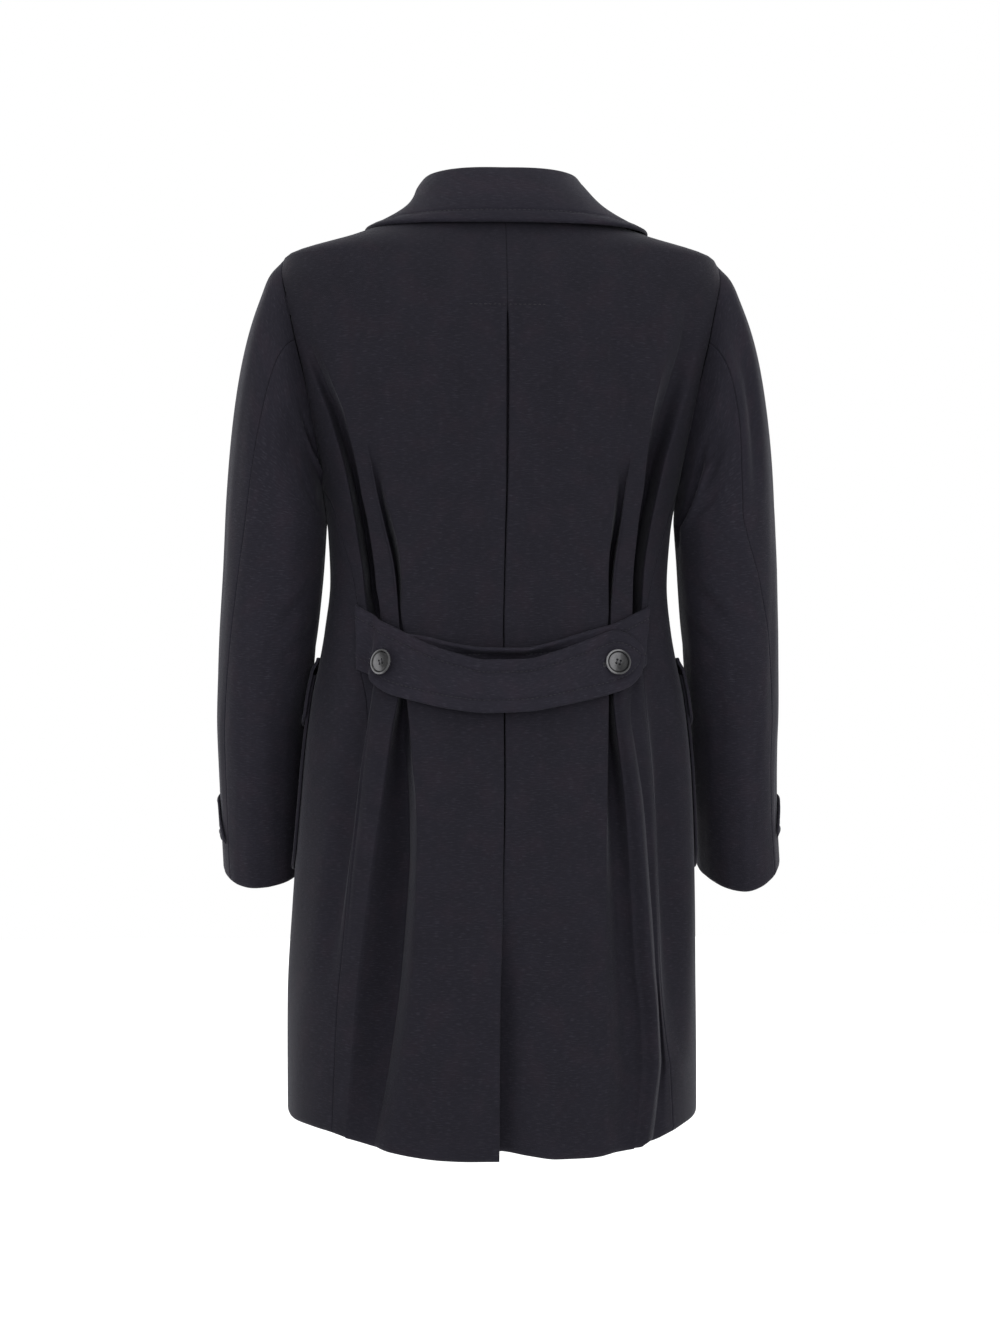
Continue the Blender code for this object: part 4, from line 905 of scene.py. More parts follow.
def back_face(side):
    """One back panel, from centre back out to the side, with its tuck and folds."""
    lines, hangs = BACKS[side], HANGS[side]

    def under(name, place, line, height):
        return hangs[name](height) * np.sin(np.pi * np.clip(place - line, 0.0, 1.0))

    def face(place, height):
        last = side_edge(side, height, -ARMHOLE_BACK) - seam_degrees(TORSO["half_width"](height))
        names = ("lip", "floor", "strip", "crest", "trough")
        centre_out = CENTRE["left_out"](height) if side > 0 else VENT["right_out"](height)
        angles = [centre_edge(side, height)] + [lines[name](height) for name in names + ("rest",)] + [last]
        outs = [centre_out] + [lines[name + "_out"](height) for name in names] + [0.0, 0.0]
        angle = between(angles, place) - under("lip", place, LIP_GAP, height)
        angle = angle + under("strip", place, STRIP_GAP, height) - under("crest", place, CREST_GAP, height)
        lowered = drop_hem(side * np.abs(angle), height)
        out = back_outs(outs, place, *(hangs[name](height) for name in ("crisp", "lip_roll", "crest_roll")))
        if side < 0:
            out = out + VENT["dip"](height) * bell(np.maximum(angle, 0.0), 0.0, VENT_DIP_REACH)
        return on_body(side * angle, lowered) + out[:, None] * np.array((0.0, 1.0, 0.0))

    return face


def roll_x(height):
    """How far from the middle the roll line of the lapel lies at a height."""
    part = (height - BREAK_HEIGHT) / (ROLL_TOP_HEIGHT - BREAK_HEIGHT)
    return np.where(part > 0.0, -LAP + (ROLL_TOP_X + LAP) * part, -LAP)


def front_lift(side, angle, height):
    """How far a front stands out of the body: the over front passes over the under front."""
    if side < 0:
        return 0.0 * angle
    begin = FRONT["pocket_front"](height)
    part = (angle - begin) / (front_angle(roll_x(height), height) - begin)
    share = smooth((LAP_LIFT_TOP - height) / (LAP_LIFT_TOP - LAP_LIFT_FULL))
    return LAP_LIFT * share * smooth(part / LAP_LIFT_PART)


def front_face(side):
    """One front panel, from its side edge round to the roll line and the front edge."""

    def face(place, height):
        edge = side_edge(side, height, ARMHOLE_FRONT) + seam_degrees(TORSO["half_width"](height))
        rolled = smooth((height - BREAK_HEIGHT) / ROLL_EASE)
        opening = front_angle(roll_x(height) + ROLL_BACK * rolled, height)
        angle = between([edge, FRONT["pocket_back"](height), FRONT["pocket_front"](height), opening], place)
        return on_body(side * angle, drop_hem(side * angle, height), front_lift(side, angle, height))

    return face


def strip_face(first, last, out):
    """A strip behind the centre back, between two angles."""

    def face(place, height):
        angle = first + (last - first) * place
        return torso(angle, drop_hem(-np.abs(angle), height), out)

    return face


def armhole_point(turn):
    """Place on the left armhole by degrees round the sleeve, from the shoulder towards the back."""
    height = ARMHOLE_MIDDLE + ARMHOLE_HALF * np.cos(np.radians(turn))
    lean = np.sin(np.radians(turn))
    reach = np.where(lean > 0.0, ARMHOLE_BACK, ARMHOLE_FRONT)
    return SIDE_ANGLE - reach * lean, height


def arm_ring(side, turn, height):
    """Points of a ring round an arm, as on the left side, square to the arm's middle line."""
    slope = (ARM["forward"](height - PROBE) - ARM["forward"](height + PROBE)) / (2.0 * PROBE)
    tilt = np.arctan(slope)
    wide = ARM["half_width"](height) * np.cos(np.radians(turn))
    deep = ARM["half_depth"](height) * np.sin(np.radians(turn))
    out = ARM["out"](height) + (ARM["right_swing"](height) if side < 0 else 0.0)
    return np.stack((out + wide,
                     deep * np.cos(tilt) - ARM["forward"](height),
                     height - deep * np.sin(tilt)), -1)


def cap_direction(turn):
    """The way the cloth of the left sleeve leaves the armhole."""
    top = np.clip(np.cos(np.radians(turn)), 0.0, 1.0)[..., None]
    foot = np.clip(-np.cos(np.radians(turn)), 0.0, 1.0)[..., None]
    lean = np.sin(np.radians(turn))
    beside = np.abs(lean)[..., None]
    out, back, up = CAP_BESIDE
    outward = np.stack((0.0 * lean + out, back * np.sign(lean), 0.0 * lean + up), -1)
    return unit(top * np.array(CAP_TOP) + foot * np.array(CAP_FOOT) + beside * outward)


def sleeve_settle(side, turn, along):
    """How far a sleeve's cloth strays from its even form: the roped head, soft waves and creases."""
    wrapped = wrap(turn, SLEEVE_WRAP)
    creases = crease_lift(SLEEVE_CREASE_ROWS[side], wrapped, along, SLEEVE_DEGREE, SLEEVE_LENGTH)
    heading = np.radians(turn)
    top = np.clip(SLEEVE_HEAD_EVEN + (1.0 - SLEEVE_HEAD_EVEN) * np.cos(heading), 0.0, 1.0)
    head = SLEEVE_HEAD * bell(along, SLEEVE_HEAD_AT, SLEEVE_HEAD_WIDTH) * top
    calm = smooth(along / SLEEVE_CALM)
    soft = creases + SLEEVE_RIPPLE * waves(heading, SLEEVE_RATE * side * along)
    return calm * soft + smooth(along / SLEEVE_HEAD_EASE) * head


def sleeve_point(side, turn, along):
    """Points of a sleeve, as on the left side, by degrees round it and by share of its length."""
    top, bottom = ARM_ROWS[0][0], ARM_ROWS[-1][0]
    part = np.clip(along / CAP, 0.0, 1.0)[..., None]
    angle, level = armhole_point(turn)
    start = mirrored(on_body(side * angle, level), side)
    leave = cap_direction(turn)
    foot = np.clip(-np.cos(np.radians(turn)), 0.0, 1.0)[..., None]
    start = start + SEAM * leave + UNDERARM_GAP * foot * np.array((1.0, 0.0, 0.0))
    finish = arm_ring(side, turn, top + 0.0 * turn)
    reach = CAP_FULLNESS * np.linalg.norm(finish - start, axis=-1, keepdims=True)
    arrive = reach * unit(arm_ring(side, turn, top - PROBE + 0.0 * turn) - finish)
    cap = hermite(part, start, finish, reach * leave, arrive)
    height = top + (bottom - top) * np.maximum(along - CAP, 0.0) / (1.0 - CAP)
    points = np.where(along[..., None] > CAP, arm_ring(side, turn, height), cap)
    heading = np.radians(turn)
    outward = np.stack((np.cos(heading), np.sin(heading), 0.0 * heading), -1)
    lift = CUFF[HANDS[side]](wrap(turn, CUFF_WRAP)) * smooth((along - CUFF_FROM) / (1.0 - CUFF_FROM))
    raised = np.stack((0.0 * lift, 0.0 * lift, lift), -1)
    return points + raised + sleeve_settle(side, turn, along)[..., None] * outward


def sleeve_turn(side, under, place, along):
    """Degrees round the sleeve of a column place from 0 to 1, part of the way along."""
    back, front = SLEEVE[HANDS[side] + "_seam"](along), SLEEVE["front_seam"](along)
    low, high = (back, 360.0 + front) if under else (front, back)
    return low + (high - low) * place + seam_degrees(SLEEVE_RADIUS) * (1.0 - 2.0 * place)


def mirrored(points, side):
    """Points of the left side moved to the given side."""
    return points * np.array((side, 1.0, 1.0))


def sleeve_face(side, under):
    """One sleeve piece on its side of the coat."""

    def face(place, along):
        return mirrored(sleeve_point(side, sleeve_turn(side, under, place, along), along), side)

    return face


def spline(knots, points, place):
    """A smooth path through rows of points, at places along its knots."""
    knots = np.array(knots)
    slopes = np.empty_like(points)
    slopes[1:-1] = (points[2:] - points[:-2]) / (knots[2:] - knots[:-2])[:, None, None]
    slopes[0] = (points[1] - points[0]) / (knots[1] - knots[0])
    slopes[-1] = (points[-1] - points[-2]) / (knots[-1] - knots[-2])
    row = np.clip(np.searchsorted(knots, place) - 1, 0, len(knots) - 2)
    count = np.arange(len(place))
    gap = (knots[row + 1] - knots[row])[:, None]
    part = (place - knots[row])[:, None] / gap
    return hermite(part, points[row, count], points[row + 1, count],
                   slopes[row, count], slopes[row + 1, count], gap)


def collar_face(turn, across):
    """The collar, from its right front end (-1) to its left (1), up the stand and down the fall."""
    side, share = np.where(turn < 0.0, -1.0, 1.0), np.abs(turn)
    read = {name: COLLAR[name](share) for name in COLLAR_COLUMNS}
    seam_angle, edge_angle = side * read["seam_angle"], side * read["edge_angle"]
    seam = torso(seam_angle, read["seam_height"])
    seam = seam + read["seam_out"][..., None] * torso_normal(seam_angle, read["seam_height"])
    heading = np.radians(seam_angle)
    out = np.stack((np.sin(heading), np.cos(heading), 0.0 * heading), -1)
    up = np.array((0.0, 0.0, 1.0))
    rise = (read["roll_height"] - seam[..., 2])[..., None]
    stand = seam + STAND_RISE * rise * up + STAND_OUT * out
    roll = seam + rise * up + ROLL_OUT * COLLAR_ROLL * out
    fall = seam + FALL_RISE * rise * up + COLLAR_ROLL * out
    edge = torso(edge_angle, read["edge_height"])
    edge = edge + read["edge_out"][..., None] * torso_normal(edge_angle, read["edge_height"])
    bulge = np.where(turn < 0.0, read["bulge_right"], read["bulge_left"])[..., None]
    low = np.where(turn < 0.0, COLLAR_LOW[1], COLLAR_LOW[0]) * bell(share, COLLAR_LOW_AT, COLLAR_LOW_HALF)
    moved = -COLLAR_SWAY * (1.0 - smooth((share - COLLAR_SWAY_TO) / (1.0 - COLLAR_SWAY_TO)))
    edge = edge + np.stack((moved, 0.0 * moved, -low), -1)
    middle = 0.5 * (fall + edge) + bulge * out
    return spline(COLLAR_KNOTS, np.stack((seam, stand, roll, fall, middle, edge)), across)


def lapel_face(side, first):
    """A lapel turned out on its front, from inside its roll line (below 0) to its outer edge (1)."""

    def face(place, along):
        read = {name: LAPEL[name](first + (1.0 - first) * along) for name in LAPEL_COLUMNS}
        start = np.zeros_like(place)
        if side < 0:
            slope = (ROLL_TOP_X + LAP) / (ROLL_TOP_HEIGHT - BREAK_HEIGHT)
            roll_side = read["roll_x"] + slope * (read["roll_height"] - BREAK_HEIGHT) - LAP - LAPEL_GAP
            edge_side = read["edge_x"] + slope * (read["edge_height"] - BREAK_HEIGHT) - LAP - LAPEL_GAP
            start = np.clip(-roll_side / (edge_side - roll_side), 0.0, LAPEL_MOST_HIDDEN)
        turned = ROLL_TURN * np.clip(-place / ROLL_PART, 0.0, 1.0)
        radius = ROLL_RADIUS * np.where(start > 0.0, ROLL_TUCKED, 1.0)
        part = start + (1.0 - start) * np.maximum(place, 0.0)
        x = read["roll_x"] + (read["edge_x"] - read["roll_x"]) * part - radius * np.sin(turned)
        height = read["roll_height"] + (read["edge_height"] - read["roll_height"]) * part
        angle = front_angle(x, height)
        puff = read["puff"] * np.sin(np.pi * np.clip(part, 0.0, 1.0)) - radius * (1.0 - np.cos(turned))
        lift = (LAP_LIFT if side > 0 else 0.0) + CLOTH + LAPEL_CLEAR + puff
        return on_body(side * angle, height, lift)

    return face


def strap_face(table, first, last, bow, sewn):
    """A strap across the back, from its lower to its upper edge, its sewn end along the side back seam."""
    end, seam = (last, SEAMS["left"]) if sewn > 0 else (first, SEAMS["right"])

    def face(place, across):
        angle = first + (last - first) * place
        low, high = table["bottom"](angle), table["top"](angle)
        past = np.maximum(np.abs(end) - seam(low + (high - low) * across) + BELT_END_GAP, 0.0)
        angle = angle - sewn * past * smooth(1.0 - np.abs(end - angle) / BELT_END_EASE)
        low, high = table["bottom"](angle), table["top"](angle)
        out = table["out"](angle) + bow(across) * bell(angle, 0.0, BOW_REACH)
        return on_body(angle, low + (high - low) * across, out)

    return face


def over_bow(across):
    """How far the upper strap leans out at the middle of the back."""
    return OVER_BOW * across**OVER_BOW_POWER


def under_bow(across):
    """How the lower strap rolls out along its top at the middle of the back, above a hollow."""
    roll = smooth((across - UNDER_ROLL_FROM) / UNDER_ROLL_RISE)
    return UNDER_ROLL * roll - UNDER_HOLLOW * bell(across, UNDER_HOLLOW_AT, UNDER_HOLLOW_HALF)


def patch_face(side, base, layers, top_gap, rounding, reach, flush):
    """A patch on a front, made from the front's own points moved out, with rounded lower corners."""

    def face(place, height):
        across = 2.0 * place - 3.0
        corner = np.clip(np.abs(across) - CORNER_FROM, 0.0, None) / (1.0 - CORNER_FROM)
        share = np.clip((POCKET_TOP - height) / (POCKET_TOP - base), 0.0, 1.0)
        height = height + rounding * corner**2 * share**4 - top_gap * (1.0 - share)
        back, front = FRONT["pocket_back"](height), FRONT["pocket_front"](height)
        angle = back + (front - back) * (place - 1.0) + reach * across
        stack = layers - (layers - 1) * smooth((height - flush) / FLUSH_EASE)
        lift = front_lift(side, angle, height) + stack * (CLOTH + PATCH_CLEAR)
        return on_body(side * angle, height, lift)

    return face


def tab_face(side):
    """A cuff tab on the outside of a sleeve, from the front seam to its free end."""

    def face(place, across):
        turn = TAB_FROM + (TAB_TO + TAB_SLANT * (1.0 - across) - TAB_FROM) * place
        along = TAB_LOW + (TAB_HIGH - TAB_LOW) * across
        tip = TAB_TIP_LIFT * smooth((place - TAB_TIP_FROM) / (1.0 - TAB_TIP_FROM))
        on = sleeve_point(side, turn, along)
        round_it = sleeve_point(side, turn + PROBE_TURN, along) - sleeve_point(side, turn - PROBE_TURN, along)
        down_it = sleeve_point(side, turn, along + PROBE) - sleeve_point(side, turn, along - PROBE)
        outward = unit(np.cross(down_it, round_it))
        lift = (CLEAR + TAB_CLOTH + tip)[..., None]
        return mirrored(on + lift * outward, side)

    return face


def body_rows(top):
    """Heights of the body's cloth rows: close where the armhole turns, even down the skirt."""
    high, low = ARMHOLE_MIDDLE + ARMHOLE_HALF, ARMHOLE_MIDDLE - ARMHOLE_HALF
    shoulder = np.linspace(top, high, round((top - high) / TOP_ROW_STEP), endpoint=False)
    turns = np.radians(np.linspace(0.0, 180.0, round(180.0 / ARMHOLE_STEP), endpoint=False))
    skirt = np.linspace(low, HEM, round((low - HEM) / SKIRT_ROW_STEP))
    return np.concatenate((shoulder, ARMHOLE_MIDDLE + ARMHOLE_HALF * np.cos(turns), skirt))


def front_columns():
    """Column places of a front, close along its edge."""
    spaced = split_lines(FRONT_FINE)
    gap = len(FRONT_FINE)
    begin = gap - 1 + FRONT_EDGE_PART
    return np.concatenate((spaced[spaced < begin], np.linspace(begin, gap, FRONT_EDGE_STEPS)))


def lengths(points, axis):
    """Distance along each grid line from its first point."""
    steps = np.linalg.norm(np.diff(points, axis=axis), axis=-1)
    before = np.zeros_like(np.take(steps, [0], axis=axis))
    return np.concatenate((before, np.cumsum(steps, axis=axis)), axis=axis)


def edge_distances(points):
    """Distance of each grid point from each of the four edges of its cloth."""
    across, along = lengths(points, 0), lengths(points, 1)
    return {"first_column": across, "last_column": across[-1:] - across,
            "first_row": along, "last_row": along[:, -1:] - along}


def on_grid(face, columns, rows):
    """A face's points at each column and row."""
    column, row = np.meshgrid(columns, rows, indexing="ij")
    return face(column.ravel(), row.ravel()).reshape(len(columns), len(rows), 3)


def with_rims(places, distance):
    """Grid places with a few more beside each end, where the edge of the cloth is rounded."""
    begin = np.interp(RIM_STEPS, distance, places)
    end = np.interp(distance[-1] - np.array(RIM_STEPS), distance, places)
    rim = RIM_CLEAR * RIM_STEPS[-1]
    inner = (distance > rim) & (distance < distance[-1] - rim)
    return np.concatenate((places[:1], begin, places[inner], end[::-1], places[-1:]))


class Cloth:
    """A cloth face as a grid of points with the directions out of it."""

    def __init__(self, face, columns, rows, sign):
        columns, rows = np.asarray(columns, float), np.asarray(rows, float)
        rough = on_grid(face, columns, rows)
        columns = with_rims(columns, lengths(rough, 0).mean(axis=1))
        rows = with_rims(rows, lengths(rough, 1).mean(axis=0))
        self.points = on_grid(face, columns, rows)
        across = np.gradient(self.points, axis=0)
        along = np.gradient(self.points, axis=1) * np.sign(rows[-1] - rows[0])
        self.outward = unit(np.cross(across, along)) * sign

    def line_inside(self, edge, inset):
        """The line that keeps one distance from an edge, with the directions out of the cloth."""
        kind = edge.split("_")[1]
        points, outward = self.points, self.outward
        if kind == "column":
            points, outward = points.swapaxes(0, 1), outward.swapaxes(0, 1)
        if edge.startswith("last"):
            points, outward = points[:, ::-1], outward[:, ::-1]
        distance = lengths(points, 1)
        wide = distance[:, -1] > 2.0 * inset + STITCH_ROOM
        places, ways = [], []
        for line, way, far in zip(points[wide], outward[wide], distance[wide]):
            places.append([np.interp(inset, far, line[:, axis]) for axis in range(3)])
            ways.append([np.interp(inset, far, way[:, axis]) for axis in range(3)])
        return np.array(places), unit(np.array(ways))


def mesh_of(name, bm):
    """A mesh of what was built."""
    mesh = bpy.data.meshes.new(name)
    bm.to_mesh(mesh)
    bm.free()
    return mesh


def vertex_places(mesh):
    """Places of a mesh's vertices, one in each row."""
    places = np.empty(3 * len(mesh.vertices))
    mesh.vertices.foreach_get("co", places)
    return places.reshape(-1, 3)


def add_object(name, data):
    """An object in the scene."""
    item = bpy.data.objects.new(name, data)
    bpy.context.scene.collection.objects.link(item)
    return item


def cloth_mesh(name, cloth, thickness, sewn, inset, turned):
    """A closed cloth shell: a grid extruded through the cloth, with rounded edges and a swelled sewn edge."""
    count_x, count_y = cloth.points.shape[:2]
    bm = bmesh.new()
    bmesh.ops.create_grid(bm, x_segments=count_x - 1, y_segments=count_y - 1, size=1.0)
    made = bmesh.ops.extrude_face_region(bm, geom=bm.faces[:], use_keep_orig=True)
    under = [item for item in made["geom"] if isinstance(item, bmesh.types.BMVert)]
    bmesh.ops.translate(bm, verts=under, vec=(0.0, 0.0, -1.0))
    bmesh.ops.recalc_face_normals(bm, faces=bm.faces[:])
    mesh = mesh_of(name, bm)
    flat = vertex_places(mesh)
    column = np.rint((flat[:, 0] + 1.0) / 2.0 * (count_x - 1)).astype(int)
    row = np.rint((flat[:, 1] + 1.0) / 2.0 * (count_y - 1)).astype(int)
    lined = flat[:, 2] < -0.5
    away = edge_distances(cloth.points)
    nearest = np.minimum.reduce(list(away.values()))
    radius = RIM_OUTSIDE * thickness
    rounded = radius - np.sqrt(np.clip(radius**2 - np.clip(radius - nearest, 0.0, None) ** 2, 0.0, None))
    curled = 0.0 * nearest
    if turned:
        bent = TURNED_SHARE * np.clip(1.0 - away[turned] / TURNED_RADIUS, 0.0, 1.0)
        curled = TURNED_RADIUS * (1.0 - np.sqrt(1.0 - bent**2))
    raised = -rounded - curled
    if sewn:
        beside = np.minimum.reduce([away[edge] for edge in sewn])
        band = smooth(beside / SWELL_EASE) * (1.0 - smooth((beside - inset + SWELL_EASE) / SWELL_EASE))
        raised = raised + SWELL * band - GROOVE * bell(beside, inset, GROOVE_WIDTH)
    outer = cloth.points + raised[..., None] * cloth.outward
    lowered = thickness + curled - RIM_INSIDE / RIM_OUTSIDE * rounded
    inner = cloth.points - lowered[..., None] * cloth.outward
    places = np.where(lined[:, None], inner[column, row], outer[column, row])
    mesh.vertices.foreach_set("co", places.ravel())
    level = 0.0 * nearest + away["first_row"].mean(axis=0)
    add_map(mesh, CLOTH_MAP, np.stack((away["first_column"], level), -1)[column, row])
    mesh.shade_smooth()
    if signed_volume(mesh) < 0.0:
        mesh.flip_normals()
    mesh.update()
    return mesh


def add_map(mesh, name, flat):
    """A piece's own map, from a flat place for each vertex."""
    layer = mesh.uv_layers.new(name=name)
    corner = np.empty(len(mesh.loops), dtype=np.int32)
    mesh.loops.foreach_get("vertex_index", corner)
    layer.uv.foreach_set("vector", flat[corner].ravel())


def signed_volume(mesh):
    """Volume of a closed mesh, below zero when it is inside out."""
    bm = bmesh.new()
    bm.from_mesh(mesh)
    volume = bm.calc_volume(signed=True)
    bm.free()
    return volume


def add_piece(name, mesh, material, slot, nodes=()):
    """A finished piece that rides on the coat, in place of the nodes it stands for."""
    mesh.materials.append(material)
    piece = add_object(name, mesh)
    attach(piece, ROOT)
    if nodes:
        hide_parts(*nodes)
    return piece


def turned_frame(place, along, outward, size):
    """A transform that lays a unit shape along a direction on a face: across, out and along."""
    along = unit(along - outward * np.sum(along * outward))
    beside = np.cross(outward, along)
    columns = [axis * length for axis, length in zip((beside, outward, along), size)]
    turn = Matrix([list(row) for row in np.stack(columns, -1)]).to_4x4()
    return Matrix.Translation(Vector(place)) @ turn


def add_stitch(bm, place, along, outward, size):
    """One short stitch of thread lying on the cloth."""
    bmesh.ops.create_uvsphere(bm, u_segments=6, v_segments=4, radius=0.5,
                              matrix=turned_frame(place, along, outward, size))


def sew_line(bm, points, outward, sewing, trim=(0.0, 0.0)):
    """A row of stitches along a line on the cloth."""
    distance = np.concatenate(([0.0], np.cumsum(np.linalg.norm(np.diff(points, axis=0), axis=-1))))
    pitch = sewing.stitch_length + sewing.stitch_gap
    places = np.arange(trim[0] + 0.5 * pitch, distance[-1] - trim[1], pitch)
    ahead = STITCH_PROBE * sewing.stitch_length
    size = (sewing.thread, sewing.thread, sewing.stitch_length)

    def at(values, where):
        return np.stack([np.interp(where, distance, values[:, axis]) for axis in range(3)], -1)

    for place, near, far, way in zip(at(points, places), at(points, places - ahead),
                                     at(points, places + ahead), at(outward, places)):
        sunk = place - way * (GROOVE - STITCH_SUNK * sewing.thread)
        add_stitch(bm, sunk, far - near, unit(way), size)


def add_buttonhole(bm, face, sign, begin, end, sewing):
    """A worked buttonhole between two places of a face: close stitches down both sides of a slit."""
    steps = np.linspace(0.0, 1.0, sewing.hole_stitches)
    column = begin[0] + (end[0] - begin[0]) * steps
    row = begin[1] + (end[1] - begin[1]) * steps
    points = face(column, row)
    outward = face_ways(face, column, row, sign)
    run = unit(points[-1] - points[0])
    size = (SLIT_THREAD * sewing.thread, SLIT_THREAD * sewing.thread, SLIT_REACH * sewing.hole_width)
    for place, way in zip(points, outward):
        beside = unit(np.cross(way, run))
        for hand in (-1.0, 1.0):
            add_stitch(bm, place + hand * SLIT_BESIDE * sewing.hole_width * beside, beside, way, size)
    middle, way = points[len(points) // 2], outward[len(points) // 2]
    length = np.linalg.norm(points[-1] - points[0])
    add_stitch(bm, middle, run, way, (SLIT_WIDTH * sewing.hole_width, SLIT_DEPTH * sewing.thread, length))


def face_ways(face, column, row, sign):
    """Directions out of a face at the given places."""
    across = face(column + PROBE, row) - face(column - PROBE, row)
    along = face(column, row + PROBE) - face(column, row - PROBE)
    return unit(np.cross(across, along)) * sign


def stitched_mesh(name, bm):
    """Stitches joined as one mesh."""
    mesh = mesh_of(name, bm)
    mesh.shade_smooth()
    return mesh


def add_cloth(context, node, kind, face, columns, rows, sign, thickness=CLOTH, sewn=(), inset=0.0, extra=None,
              turned=""):
    """One piece of cloth in place of its node, with the stitches sewn into it."""
    cloth = Cloth(face, columns, rows, sign)
    mesh = cloth_mesh(node + "_cloth", cloth, thickness, sewn, inset, turned)
    # Pieces in the share table get a paler wool, which is partly painted light
    piece = add_piece(node + "_cloth", mesh, wool_material(context, NAP_AND_PAINTED_LIGHT.get(kind, 0.0)), WOOL_SLOT, [node])
    sewing = context.scene.coat_sewing
    if sewn or extra:
        bm = bmesh.new()
        for edge in sewn:
            kind_across = "row" if edge.endswith("column") else "column"
            begin, end = "first_" + kind_across, "last_" + kind_across
            trim = (inset if begin in sewn else 0.0, inset if end in sewn else 0.0)
            sew_line(bm, *cloth.line_inside(edge, inset), sewing, trim)
        if extra:
            extra(bm)
        stitches = stitched_mesh(node + "_stitching", bm)
        add_piece(node + "_stitching", stitches, thread_material(context), WOOL_SLOT)


def button_mesh(name):
    """A turned four-hole button of radius 1, with a raised rim and a dished face."""
    bm = bmesh.new()
    profile = [bm.verts.new((reach, 0.0, rise)) for reach, rise in BUTTON_PROFILE]
    line = [bm.edges.new(pair) for pair in zip(profile, profile[1:])]
    bmesh.ops.spin(bm, geom=profile + line, cent=(0.0, 0.0, 0.0), axis=(0.0, 0.0, 1.0), angle=2.0 * np.pi,
                   steps=BUTTON_STEPS, use_merge=True)
    bmesh.ops.remove_doubles(bm, verts=bm.verts[:], dist=MERGED)
    bmesh.ops.recalc_face_normals(bm, faces=bm.faces[:])
    blank = mesh_of(name + "_blank", bm)
    drill = bmesh.new()
    for x in (-HOLE_PLACE, HOLE_PLACE):
        for y in (-HOLE_PLACE, HOLE_PLACE):
            bmesh.ops.create_cone(drill, cap_ends=True, segments=HOLE_STEPS, radius1=HOLE_RADIUS,
                                  radius2=HOLE_RADIUS, depth=DRILL_DEPTH,
                                  matrix=Matrix.Translation((x, y, 0.0)))
    mesh = cut(name, blank, mesh_of(name + "_holes", drill))
    add_map(mesh, BUTTON_MAP, vertex_places(mesh)[:, :2])
    mesh.shade_smooth()
    mesh.set_sharp_from_angle(angle=np.radians(SHARP_EDGE))
    return mesh


def cut(name, blank, tool):
    """A mesh with another mesh cut out of it."""
    body = add_object(name + "_body", blank)
    cutter = add_object(name + "_cutter", tool)
    drilled = body.modifiers.new("drilled", "BOOLEAN")
    drilled.operation = "DIFFERENCE"
    drilled.solver = "EXACT"
    drilled.object = cutter
    shown = body.evaluated_get(bpy.context.evaluated_depsgraph_get())
    mesh = bpy.data.meshes.new_from_object(shown)
    mesh.name = name
    for item in (body, cutter):
        bpy.data.objects.remove(item, do_unlink=True)
    for spent in (blank, tool):
        bpy.data.meshes.remove(spent)
    return mesh


def thread_mesh(name):
    """Two bars of thread through the holes of a button of radius 1."""
    bm = bmesh.new()
    rise = BUTTON_PROFILE[-1][1]
    for x in (-HOLE_PLACE, HOLE_PLACE):
        size = (2.0 * THREAD_RADIUS, 2.0 * THREAD_RADIUS, 2.0 * HOLE_PLACE + HOLE_RADIUS)
        add_stitch(bm, np.array((x, 0.0, rise)), np.array((0.0, 1.0, 0.0)), np.array((0.0, 0.0, 1.0)), size)
    return stitched_mesh(name, bm)


def seat_on(face, column, row, sign):
    """A point of a face and the direction out of it there."""
    at = np.array([column], float), np.array([row], float)
    return face(*at)[0], face_ways(face, *at, sign)[0]


def add_button(context, node, place, outward, radius, spin):
    """One button on its seat, sewn on with thread."""
    outward = Vector(outward)
    turn = outward.to_track_quat("Z", "Y").to_matrix().to_4x4() @ Matrix.Rotation(np.radians(spin), 4, "Z")
    seat = Matrix.Translation(Vector(place) + BUTTON_LIFT * outward) @ turn @ Matrix.Scale(radius, 4)
    for name, make, material, slot, nodes in (
            (node + "_horn", button_mesh, horn_material(context), BUTTON_SLOT, [node]),
            (node + "_thread", thread_mesh, thread_material(context), WOOL_SLOT, [])):
        mesh = make(name)
        mesh.transform(seat)
        add_piece(name, mesh, material, slot, nodes)


class Value:
    """A shader socket that takes part in sums written as Python."""

    def __init__(self, paint, socket):
        self.paint = paint
        self.socket = socket

    def sum(self, operation, first, second):
        """A Math node on two values."""
        return self.paint.node("ShaderNodeMath", {"operation": operation}, {0: first, 1: second}, "Value")

    def __add__(self, other):
        return self.sum("ADD", self, other)

    def __radd__(self, other):
        return self.sum("ADD", other, self)

    def __sub__(self, other):
        return self.sum("SUBTRACT", self, other)

    def __rsub__(self, other):
        return self.sum("SUBTRACT", other, self)

    def __mul__(self, other):
        return self.sum("MULTIPLY", self, other)


